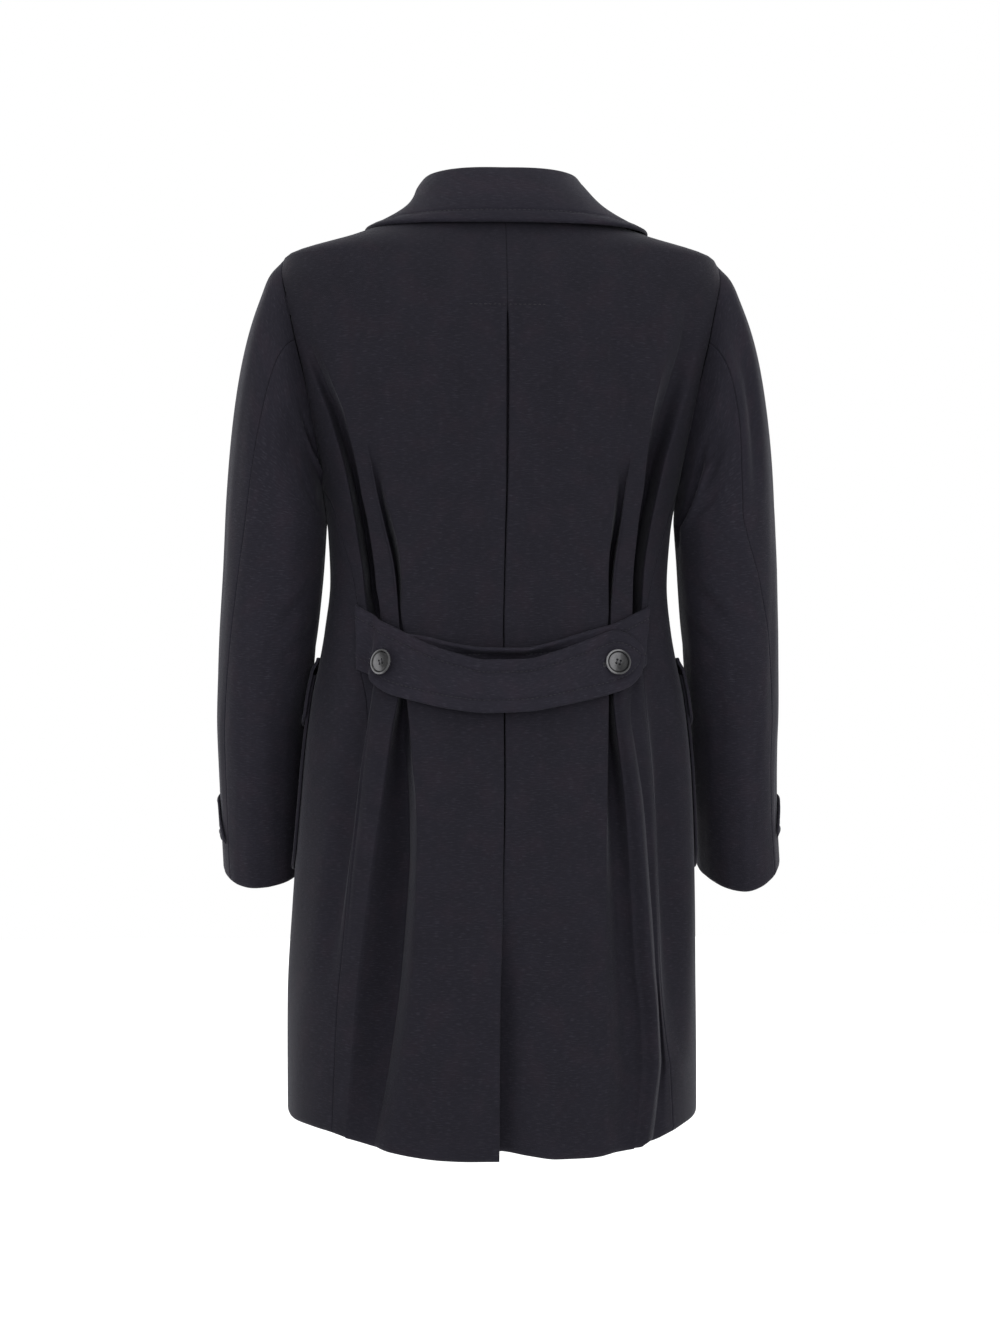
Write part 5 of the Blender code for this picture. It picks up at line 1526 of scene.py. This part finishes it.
class Paint:
    """The node tree of one material."""

    def __init__(self, name):
        self.material = bpy.data.materials.new(name)
        self.material.use_nodes = True
        self.tree = self.material.node_tree
        self.shader = self.tree.nodes["Principled BSDF"]

    def feed(self, socket, value):
        """Give a socket a value or a link."""
        if isinstance(value, Value):
            self.tree.links.new(value.socket, socket)
        else:
            socket.default_value = value

    def node(self, kind, settings, sockets, output):
        """Any node: its settings first, then its sockets' values or links. Gives one of its outputs."""
        made = self.tree.nodes.new(kind)
        for name, setting in settings.items():
            setattr(made, name, setting)
        for name, value in sockets.items():
            self.feed(made.inputs[name], value)
        return Value(self, made.outputs[output])

    def noise(self, place, stretch, detail):
        """Soft noise from 0 to 1, stretched by repeats in a metre."""
        spread = self.node("ShaderNodeVectorMath", {"operation": "MULTIPLY"}, {0: place, 1: stretch},
                           "Vector")
        return self.node("ShaderNodeTexNoise", {}, {"Vector": spread, "Scale": 1.0, "Detail": detail}, "Fac")

    def step(self, value, low, high):
        """0 below one value and 1 above another, eased between."""
        return self.node("ShaderNodeMapRange", {"interpolation_type": "SMOOTHSTEP"},
                         {"Value": value, "From Min": low, "From Max": high}, "Result")

    def share(self, value, low, high, most):
        """A step that rises to a share."""
        return self.step(value, low, high) * most

    def mix(self, share, first, second):
        """One colour passing into another."""
        return self.node("ShaderNodeMix", {"data_type": "RGBA"}, {0: share, 6: first, 7: second}, 2)

    def bump(self, height, strength, distance):
        """A surface direction from heights."""
        sockets = {"Height": height, "Strength": strength, "Distance": distance}
        return self.node("ShaderNodeBump", {}, sockets, "Normal")

    def set(self, **values):
        """Feed the shader's own sockets, named with _ for a space."""
        for name, value in values.items():
            self.feed(self.shader.inputs[name.replace("_", " ")], value)
        return self.material


def opaque(colour, gain=1.0):
    """A colour that covers in full, made paler or darker by a gain."""
    return tuple(gain * part for part in colour) + (1.0,)


def wool_material(context, raised):
    """Brushed navy wool: fine weave under a soft nap, slubs, and a faint mottle. Its share paints it paler,
    for raised nap and as painted light.
    """
    name = "coat_wool_%d" % round(100.0 * raised)
    if name in bpy.data.materials:
        return bpy.data.materials[name]
    cloth = context.scene.coat_cloth
    # The gain paints the wool paler: partly for raised nap, partly as painted light, and on the sleeves as
    # painted light alone
    gain = 1.0 + (cloth.raised - 1.0) * raised
    yarns = (cloth.shadow, cloth.wool, cloth.warm, cloth.fleck)
    shadow, wool, warm, fleck = (opaque(yarn, gain) for yarn in yarns)
    paint = Paint(name)
    place = paint.node("ShaderNodeUVMap", {"uv_map": CLOTH_MAP}, {}, "UV")
    long, thick = 1.0 / cloth.slub_length, 1.0 / cloth.slub_width
    weft = paint.noise(place, (long, thick, 1.0), 1.0)
    warp = paint.noise(place, (thick, WARP_STRETCH * long, 1.0), 1.0)
    mottle = paint.noise(place, *MOTTLE)
    nap = paint.noise(place, *NAP)
    tint = paint.noise(place, *TINT)
    pitch = 2.0 * np.pi / cloth.weave
    split = paint.node("ShaderNodeSeparateXYZ", {}, {"Vector": place}, "X")
    along = Value(paint, split.socket.node.outputs["Y"])
    ribs = paint.node("ShaderNodeMath", {"operation": "SINE"}, {0: (split + along) * pitch}, "Value")
    slub = paint.noise(place, (SLUB_STRETCH[0] * long, SLUB_STRETCH[1] * thick, 2.0), 0.0)
    light = paint.share(weft, *WEFT_LIGHT) + paint.share(slub, *SLUB_LIGHT)
    light = light + paint.share(warp, *WARP_LIGHT)
    dark = paint.share(weft, *WEFT_DARK)
    shade = (mottle - 0.5) * MOTTLE_SHADE + (nap - 0.5) * NAP_SHADE + 0.50
    worn = paint.mix(shade, shadow, wool)
    tinted = paint.mix(paint.share(tint, *WARM_YARN), worn, warm)
    flecked = paint.mix(light, tinted, fleck)
    colour = paint.mix(dark, flecked, shadow)
    height = nap * NAP_RELIEF + ribs * RIB_RELIEF + weft * WEFT_RELIEF + warp * WARP_RELIEF
    return paint.set(Base_Color=colour, Roughness=0.80 + nap * 0.18,
                     Normal=paint.bump(height, cloth.nap, NAP_HEIGHT),
                     Specular_IOR_Level=0.12, Sheen_Weight=cloth.sheen, Sheen_Roughness=0.27,
                     Sheen_Tint=opaque(cloth.sheen_tint))


def thread_material(context):
    """Waxed thread a little darker and glossier than the cloth."""
    name = "coat_thread"
    if name in bpy.data.materials:
        return bpy.data.materials[name]
    sewing = context.scene.coat_sewing
    paint = Paint(name)
    place = paint.node("ShaderNodeTexCoord", {}, {}, "Object")
    twist = paint.noise(place, *TWIST)
    colour = paint.mix(twist, opaque(sewing.colour, THREAD_DEEP), opaque(sewing.colour))
    return paint.set(Base_Color=colour, Roughness=0.55 + twist * 0.2, Specular_IOR_Level=0.25,
                     Normal=paint.bump(twist, *TWIST_RELIEF), Sheen_Weight=0.1)


def horn_material(context):
    """Polished dark horn, cloudy, with painted highlights to one side and on the rim, and painted shade in
    the groove inside it.
    """
    name = "coat_horn"
    if name in bpy.data.materials:
        return bpy.data.materials[name]
    buttons = context.scene.coat_buttons
    paint = Paint(name)
    place = paint.node("ShaderNodeTexCoord", {}, {}, "Object")
    wear = paint.noise(place, *WEAR)
    flat = paint.node("ShaderNodeUVMap", {"uv_map": BUTTON_MAP}, {}, "UV")
    cloud = paint.noise(flat, *CLOUD)
    across = paint.node("ShaderNodeSeparateXYZ", {}, {"Vector": flat}, "X")
    reach = paint.node("ShaderNodeVectorMath", {"operation": "LENGTH"}, {0: flat}, "Value")
    # Painted highlight: the button is paler to one side, as if lit from there, broken by the clouds
    pale = 1.0 - paint.step(across + (cloud - 0.5) * CLOUD_SHIFT, *HIGHLIGHT_SIDE)
    # Painted highlight along the raised rim
    rim = paint.step(reach, *RIM_HIGHLIGHT_EDGE)
    # Painted shade in the recessed groove between rim and face
    groove = paint.step(reach, *GROOVE_SHADE_EDGES[0]) * (1.0 - paint.step(reach, *GROOVE_SHADE_EDGES[1]))
    share = (pale * (HIGHLIGHT_LEAST + cloud * HIGHLIGHT_CLOUD) + rim * RIM_HIGHLIGHT) * (1.0 - groove * GROOVE_SHADE)
    colour = paint.mix(share, opaque(buttons.horn), opaque(buttons.vein_and_highlight))
    return paint.set(Base_Color=colour, Roughness=0.20 + wear * 0.16, Specular_IOR_Level=0.30,
                     Normal=paint.bump(wear, *WEAR_RELIEF))


class CoatCloth(PropertyGroup):
    """The wool and its weave."""

    wool: FloatVectorProperty(name="Wool", description="Main colour of the wool",
                              default=(0.0121, 0.0112, 0.0170), **COLOUR)
    shadow: FloatVectorProperty(name="Shadow", description="Darkest yarn of the wool",
                                default=(0.0062, 0.0058, 0.0086), **COLOUR)
    fleck: FloatVectorProperty(name="Fleck", description="Pale slubs in the yarn",
                               default=(0.0250, 0.0238, 0.0318), **COLOUR)
    warm: FloatVectorProperty(name="Warm yarn", description="Faintly warmer yarn in the mix",
                              default=(0.0142, 0.0104, 0.0154), **COLOUR)
    # How much paler the shared pieces are painted: partly raised nap, partly painted light; the sleeves take
    # it as painted light
    raised: FloatProperty(name="Raised nap", description="How much paler the pieces of two layers are",
                          min=1.0, default=1.26)
    sheen: FloatProperty(name="Sheen", description="How much the nap catches light at the edges",
                         default=0.072, **SHARE)
    sheen_tint: FloatVectorProperty(name="Sheen tint", description="Colour of the nap's sheen",
                                    default=(0.80, 0.82, 0.92), **COLOUR)
    nap: FloatProperty(name="Nap", description="Strength of the nap's relief", default=0.55, **SHARE)
    weave: FloatProperty(name="Weave", description="Distance between the twill's ribs",
                         unit="LENGTH", min=0.0002, default=0.0011)
    slub_length: FloatProperty(name="Slub length", description="Length of the slubs",
                               unit="LENGTH", min=0.001, default=0.0062)
    slub_width: FloatProperty(name="Slub width", description="Thickness of the slubs",
                              unit="LENGTH", min=0.0002, default=0.0010)


class CoatSewing(PropertyGroup):
    """Thread, stitches and buttonholes."""

    colour: FloatVectorProperty(name="Thread", description="Colour of the thread",
                                default=(0.0130, 0.0125, 0.0175), **COLOUR)
    stitch_length: FloatProperty(name="Stitch length", description="Length of one stitch",
                                 unit="LENGTH", min=0.0005, default=0.0034)
    stitch_gap: FloatProperty(name="Stitch gap", description="Gap between stitches",
                              unit="LENGTH", min=0.0, default=0.0014)
    thread: FloatProperty(name="Thread thickness", description="Thickness of the thread",
                          unit="LENGTH", min=0.0001, default=0.0008)
    edge_inset: FloatProperty(name="Edge inset", description="Stitching to edge on collar, belt and fronts",
                              unit="LENGTH", min=0.001, default=0.0125)
    patch_inset: FloatProperty(name="Patch inset", description="Stitching to edge on pockets and flaps",
                               unit="LENGTH", min=0.001, default=0.0085)
    tab_inset: FloatProperty(name="Tab inset", description="Stitching to edge on cuff tabs",
                             unit="LENGTH", min=0.001, default=0.0060)
    hole_stitches: IntProperty(name="Buttonhole stitches", min=4, default=26,
                               description="Stitches down each side of a buttonhole")
    hole_width: FloatProperty(name="Buttonhole width", description="Width of one worked side",
                              unit="LENGTH", min=0.0005, default=0.0015)


class CoatButtons(PropertyGroup):
    """Sizes and colours of the buttons."""

    horn: FloatVectorProperty(name="Horn", description="Main colour of the buttons",
                              default=(0.0050, 0.0050, 0.0058), **COLOUR)
    # This pale colour serves both the veins and the painted highlights of the buttons
    vein_and_highlight: FloatVectorProperty(name="Vein", description="Paler veins of the buttons",
                              default=(0.150, 0.150, 0.155), **COLOUR)
    belt_radius: FloatProperty(name="Belt button", description="Radius of the belt buttons",
                               unit="LENGTH", min=0.001, default=0.0130)
    front_radius: FloatProperty(name="Front button", description="Radius of the front buttons",
                                unit="LENGTH", min=0.001, default=0.0140)
    cuff_radius: FloatProperty(name="Cuff button", description="Radius of the cuff buttons",
                               unit="LENGTH", min=0.001, default=0.0100)


class CoatStage(PropertyGroup):
    """Camera, lights and floor."""

    distance: FloatProperty(name="Camera distance", description="Camera to the coat's middle line",
                            unit="LENGTH", min=0.5, default=2.8)
    height: FloatProperty(name="Camera height", description="Camera height in the coat's frame",
                          unit="LENGTH", default=-0.478)
    yaw: FloatProperty(name="Camera turn", description="Turn of the camera from straight behind",
                       subtype="ANGLE", default=np.radians(3.5))
    lens: FloatProperty(name="Lens", description="Focal length in millimetres", min=10.0, default=72.0)
    floor: FloatProperty(name="Floor", description="Height of the floor in the coat's frame",
                         unit="LENGTH", default=-3.2)
    floor_colour: FloatVectorProperty(name="Floor colour", description="Pale floor",
                                      default=(0.93, 0.93, 0.93), **COLOUR)
    sky: FloatProperty(name="Sky", description="Brightness of the white surroundings", min=0.0, default=1.0)
    overhead: FloatProperty(name="Overhead", description="Strength of the even light from above",
                            min=0.0, default=1.6)


class COAT_OT_body(Operator):
    """Build the back panels, the fronts and the strips behind the centre back"""

    bl_idname = "coat.body"
    bl_label = "Body"

    def execute(self, context):
        sewing = context.scene.coat_sewing
        for side, hand in HANDS.items():
            add_cloth(context, "back_" + hand, "back", back_face(side), split_lines(BACK_FINE),
                      body_rows(0.0), -side, extra=bar_stitches(side, sewing), turned="last_row")
            front = front_face(side)
            holes = front_holes(front, side, sewing) if side > 0 else None
            add_cloth(context, "front_" + hand, "front", front, front_columns(), body_rows(ROLL_TOP_HEIGHT),
                      -side, sewn=("last_column",), inset=sewing.edge_inset, extra=holes, turned="last_row")
        underlay = strip_face(-UNDERLAY_REACH, UNDERLAY_REACH, -UNDERLAY_BEHIND)
        add_cloth(context, "pleat_underlay", "pleat_underlay", underlay,
                  *even(STRIP_FINE, along=(UNDERLAY_TOP, UNDERLAY_FOOT)), -1)
        underlap = strip_face(UNDERLAP_FROM, UNDERLAP_TO, -UNDERLAP_BEHIND)
        add_cloth(context, "vent_underlap", "vent_underlap", underlap,
                  *even(STRIP_FINE, along=(UNDERLAP_TOP, UNDERLAP_FOOT)), -1)
        return {"FINISHED"}


def bar_stitches(side, sewing):
    """The row of stitches that holds the top of the centre pleat, on one side of the middle."""

    def sew(bm):
        _, height, reach = BODY_CREASE_ROWS[0][:3]
        angle = side * np.linspace(BAR_FROM, reach, BAR_STEPS)
        level = height + 0.0 * angle
        sew_line(bm, on_body(angle, level, BAR_RAISED * GROOVE), torso_normal(angle, level), sewing)

    return sew


def front_holes(face, side, sewing):
    """Buttonholes of the over front, beside its edge."""

    def sew(bm):
        for height in FRONT_BUTTON_HEIGHTS:
            begin, end = ((front_place(-FRONT_BUTTON_X + past, height), height) for past in FRONT_SLIT)
            add_buttonhole(bm, face, -side, begin, end, sewing)

    return sew


def front_place(x, height):
    """Column place on a front of a distance from the middle."""
    begin = FRONT["pocket_front"](height)
    return 2.0 + (front_angle(x, height) - begin) / (front_angle(-LAP, height) - begin)


class COAT_OT_sleeves(Operator):
    """Build the upper and under sleeves and the cuff tabs"""

    bl_idname = "coat.sleeves"
    bl_label = "Sleeves and cuff tabs"

    def execute(self, context):
        sewing = context.scene.coat_sewing
        for side, hand in HANDS.items():
            add_cloth(context, "sleeve_upper_" + hand, "sleeve_upper", sleeve_face(side, False),
                      *even((UPPER_FINE, SLEEVE_FINE)), -side, turned="last_row")
            add_cloth(context, "sleeve_under_" + hand, "sleeve_under", sleeve_face(side, True),
                      *even((UNDER_FINE, SLEEVE_FINE)), -side, turned="last_row")
            add_cloth(context, "cuff_tab_" + hand, "cuff_tab", tab_face(side), *even(TAB_FINE), side,
                      TAB_CLOTH, sewn=("first_row", "last_row", "last_column"), inset=sewing.tab_inset)
        return {"FINISHED"}


class COAT_OT_collar(Operator):
    """Build the collar and the lapels"""

    bl_idname = "coat.collar"
    bl_label = "Collar and lapels"

    def execute(self, context):
        sewing = context.scene.coat_sewing
        add_cloth(context, "collar", "collar", collar_face, *even(COLLAR_FINE, (-1.0, 1.0)), 1, COLLAR_CLOTH,
                  sewn=("last_row", "first_column", "last_column"), inset=sewing.edge_inset)
        for side, hand, first in ((1, "left", 0.0), (-1, "right", LAPEL_UNDER_FROM)):
            add_cloth(context, "lapel_" + hand, "lapel_" + hand, lapel_face(side, first),
                      *even(LAPEL_FINE, (-ROLL_PART, 1.0)), side, LAPEL_CLOTH,
                      sewn=("last_column", "last_row"), inset=sewing.edge_inset)
        return {"FINISHED"}


class COAT_OT_belt(Operator):
    """Build both straps of the half belt"""

    bl_idname = "coat.belt"
    bl_label = "Half belt"

    def execute(self, context):
        sewing = context.scene.coat_sewing
        over, place = over_strap()

        def holes(bm):
            for _, angle, height, _, _, (reach, rise) in BELT_BUTTONS:
                begin, end = place(angle + reach, height + rise), place(angle - BELT_SLIT_PAST, height)
                add_buttonhole(bm, over, -1, begin, end, sewing)

        sewn = ("first_row", "last_row")
        add_cloth(context, "belt_over", "belt_over", over, *even(BELT_FINE), -1, BELT_CLOTH,
                  sewn=sewn, inset=sewing.edge_inset, extra=holes)
        angles = [row[0] for row in BELT_UNDER_ROWS]
        under = strap_face(BELT_UNDER, min(angles), max(angles), under_bow, -1)
        add_cloth(context, "belt_under", "belt_under", under, *even(BELT_FINE), -1,
                  sewn=sewn, inset=sewing.edge_inset)
        return {"FINISHED"}


def over_strap():
    """The upper strap's face, and a function that gives the place on it of an angle and a height."""
    angles = [row[0] for row in BELT_OVER_ROWS]

    def place(angle, height):
        low, high = BELT_OVER["bottom"](angle), BELT_OVER["top"](angle)
        return (angle - min(angles)) / (max(angles) - min(angles)), (height - low) / (high - low)

    return strap_face(BELT_OVER, min(angles), max(angles), over_bow, 1), place


class COAT_OT_pockets(Operator):
    """Build the patch pockets and their flaps"""

    bl_idname = "coat.pockets"
    bl_label = "Pockets"

    def execute(self, context):
        inset = context.scene.coat_sewing.patch_inset
        for side, hand in HANDS.items():
            pocket = patch_face(side, POCKET_FOOT, 1, POCKET_TOP_GAP, POCKET_ROUND, 0.0, 0.0)
            flap = patch_face(side, FLAP_FOOT, 2, 0.0, FLAP_ROUND, FLAP_REACH, POCKET_TOP)
            for kind, face, fine, ends in (("pocket", pocket, POCKET_FINE, (POCKET_TOP, POCKET_FOOT)),
                                           ("pocket_flap", flap, FLAP_FINE, (FLAP_TOP, FLAP_FOOT))):
                add_cloth(context, kind + "_" + hand, kind, face, *even(fine, (1.0, 2.0), ends), -side,
                          sewn=("first_column", "last_column", "last_row"), inset=inset)
        return {"FINISHED"}


class COAT_OT_buttons(Operator):
    """Turn the buttons and sew them on"""

    bl_idname = "coat.buttons"
    bl_label = "Buttons"

    def execute(self, context):
        sizes = context.scene.coat_buttons
        over, place = over_strap()
        for hand, angle, height, lean, lift, _ in BELT_BUTTONS:
            seat, outward = seat_on(over, *place(angle, height), -1)
            outward = np.array(Matrix.Rotation(np.radians(-lean), 3, "Z") @ Vector(outward))
            add_button(context, "belt_button_" + hand, seat + lift * outward, outward, sizes.belt_radius,
                       BELT_SPIN * np.sign(angle))
        for side, hand in HANDS.items():
            share = (TAB_BUTTON_ANGLE - TAB_FROM) / (TAB_TO + 0.5 * TAB_SLANT - TAB_FROM)
            add_button(context, "cuff_button_" + hand, *seat_on(tab_face(side), share, 0.5, side),
                       sizes.cuff_radius, CUFF_SPIN * side)
        number = 1
        for height in FRONT_BUTTON_HEIGHTS:
            for x in (FRONT_BUTTON_X, -FRONT_BUTTON_X):
                seat = seat_on(front_face(1), front_place(x, height), height, -1)
                add_button(context, "front_button_%d" % number, *seat, sizes.front_radius,
                           FRONT_SPIN * number)
                number += 1
        return {"FINISHED"}


class COAT_OT_stage(Operator):
    """Lay the pale floor, set the soft studio light and place the camera"""

    bl_idname = "coat.stage"
    bl_label = "Stage"

    def execute(self, context):
        stage = context.scene.coat_stage
        add_floor(stage)
        add_sky(context, stage)
        sun = bpy.data.lights.new("overhead", "SUN")
        sun.energy = stage.overhead
        sun.angle = np.radians(SUN_SPREAD)
        add_aimed(sun, SUN_PLACE, SUN_AIM).visible_camera = False
        for name, place, size, power in STUDIO_LIGHTS:
            lamp = bpy.data.lights.new(name, "AREA")
            lamp.shape = "RECTANGLE"
            lamp.size, lamp.size_y = size
            lamp.energy = power
            add_aimed(lamp, place, LIGHT_AIM).visible_camera = False
        lens = bpy.data.cameras.new("studio_camera")
        lens.lens = stage.lens
        place = (stage.distance * np.sin(stage.yaw), stage.distance * np.cos(stage.yaw), stage.height)
        context.scene.camera = add_aimed(lens, place, (0.0, 0.0, stage.height))
        context.scene.view_settings.view_transform = "Standard"
        return {"FINISHED"}


def add_aimed(data, place, aim):
    """A light or a camera at a place, turned to its aim."""
    item = add_object(data.name, data)
    item.location = place
    item.rotation_euler = (Vector(aim) - Vector(place)).to_track_quat("-Z", "Y").to_euler()
    return item


def add_floor(stage):
    """A wide pale floor well below the hem."""
    bm = bmesh.new()
    bmesh.ops.create_grid(bm, x_segments=1, y_segments=1, size=FLOOR_HALF,
                          matrix=Matrix.Translation((0.0, 0.0, stage.floor)))
    mesh = mesh_of("floor", bm)
    paint = Paint("pale_floor")
    place = paint.node("ShaderNodeTexCoord", {}, {}, "Object")
    grain = paint.noise(place, FLOOR_GRAIN, 2.0)
    colour = paint.mix(grain, opaque(stage.floor_colour, FLOOR_SHADE), opaque(stage.floor_colour))
    mesh.materials.append(paint.set(Base_Color=colour, Roughness=0.9, Specular_IOR_Level=0.1))
    floor = add_object("floor", mesh)


def add_sky(context, stage):
    """Even white surroundings."""
    world = bpy.data.worlds.new("studio")
    world.use_nodes = True
    background = world.node_tree.nodes["Background"]
    background.inputs["Color"].default_value = (1.0, 1.0, 1.0, 1.0)
    background.inputs["Strength"].default_value = stage.sky
    context.scene.world = world


class COAT_PT_sidebar(Panel):
    """Coat pieces and their sizes"""

    bl_idname = "COAT_PT_sidebar"
    bl_label = "Overcoat"
    bl_space_type = "VIEW_3D"
    bl_region_type = "UI"
    bl_category = "Coat"

    def draw(self, context):
        for operator in OPERATORS:
            self.layout.operator(operator.bl_idname)
        for name, group in GROUPS.items():
            box = self.layout.box()
            for key in group.__annotations__:
                box.prop(getattr(context.scene, name), key)


GROUPS = {"coat_cloth": CoatCloth, "coat_sewing": CoatSewing, "coat_buttons": CoatButtons,
          "coat_stage": CoatStage}
OPERATORS = (COAT_OT_body, COAT_OT_sleeves, COAT_OT_collar, COAT_OT_belt, COAT_OT_pockets, COAT_OT_buttons,
             COAT_OT_stage)


def register():
    """Make the classes known and hang the properties on the scene."""
    for kind in (*GROUPS.values(), *OPERATORS, COAT_PT_sidebar):
        bpy.utils.register_class(kind)
    for name, group in GROUPS.items():
        setattr(bpy.types.Scene, name, PointerProperty(type=group))


def unregister():
    """Take the properties and classes away again."""
    for name in GROUPS:
        delattr(bpy.types.Scene, name)
    for kind in (COAT_PT_sidebar, *reversed(OPERATORS), *reversed(GROUPS.values())):
        bpy.utils.unregister_class(kind)


def main():
    """Build every piece in order."""
    register()
    bpy.ops.coat.body()
    bpy.ops.coat.sleeves()
    bpy.ops.coat.collar()
    bpy.ops.coat.belt()
    bpy.ops.coat.pockets()
    bpy.ops.coat.buttons()
    bpy.ops.coat.stage()


if __name__ == "__main__":
    main()
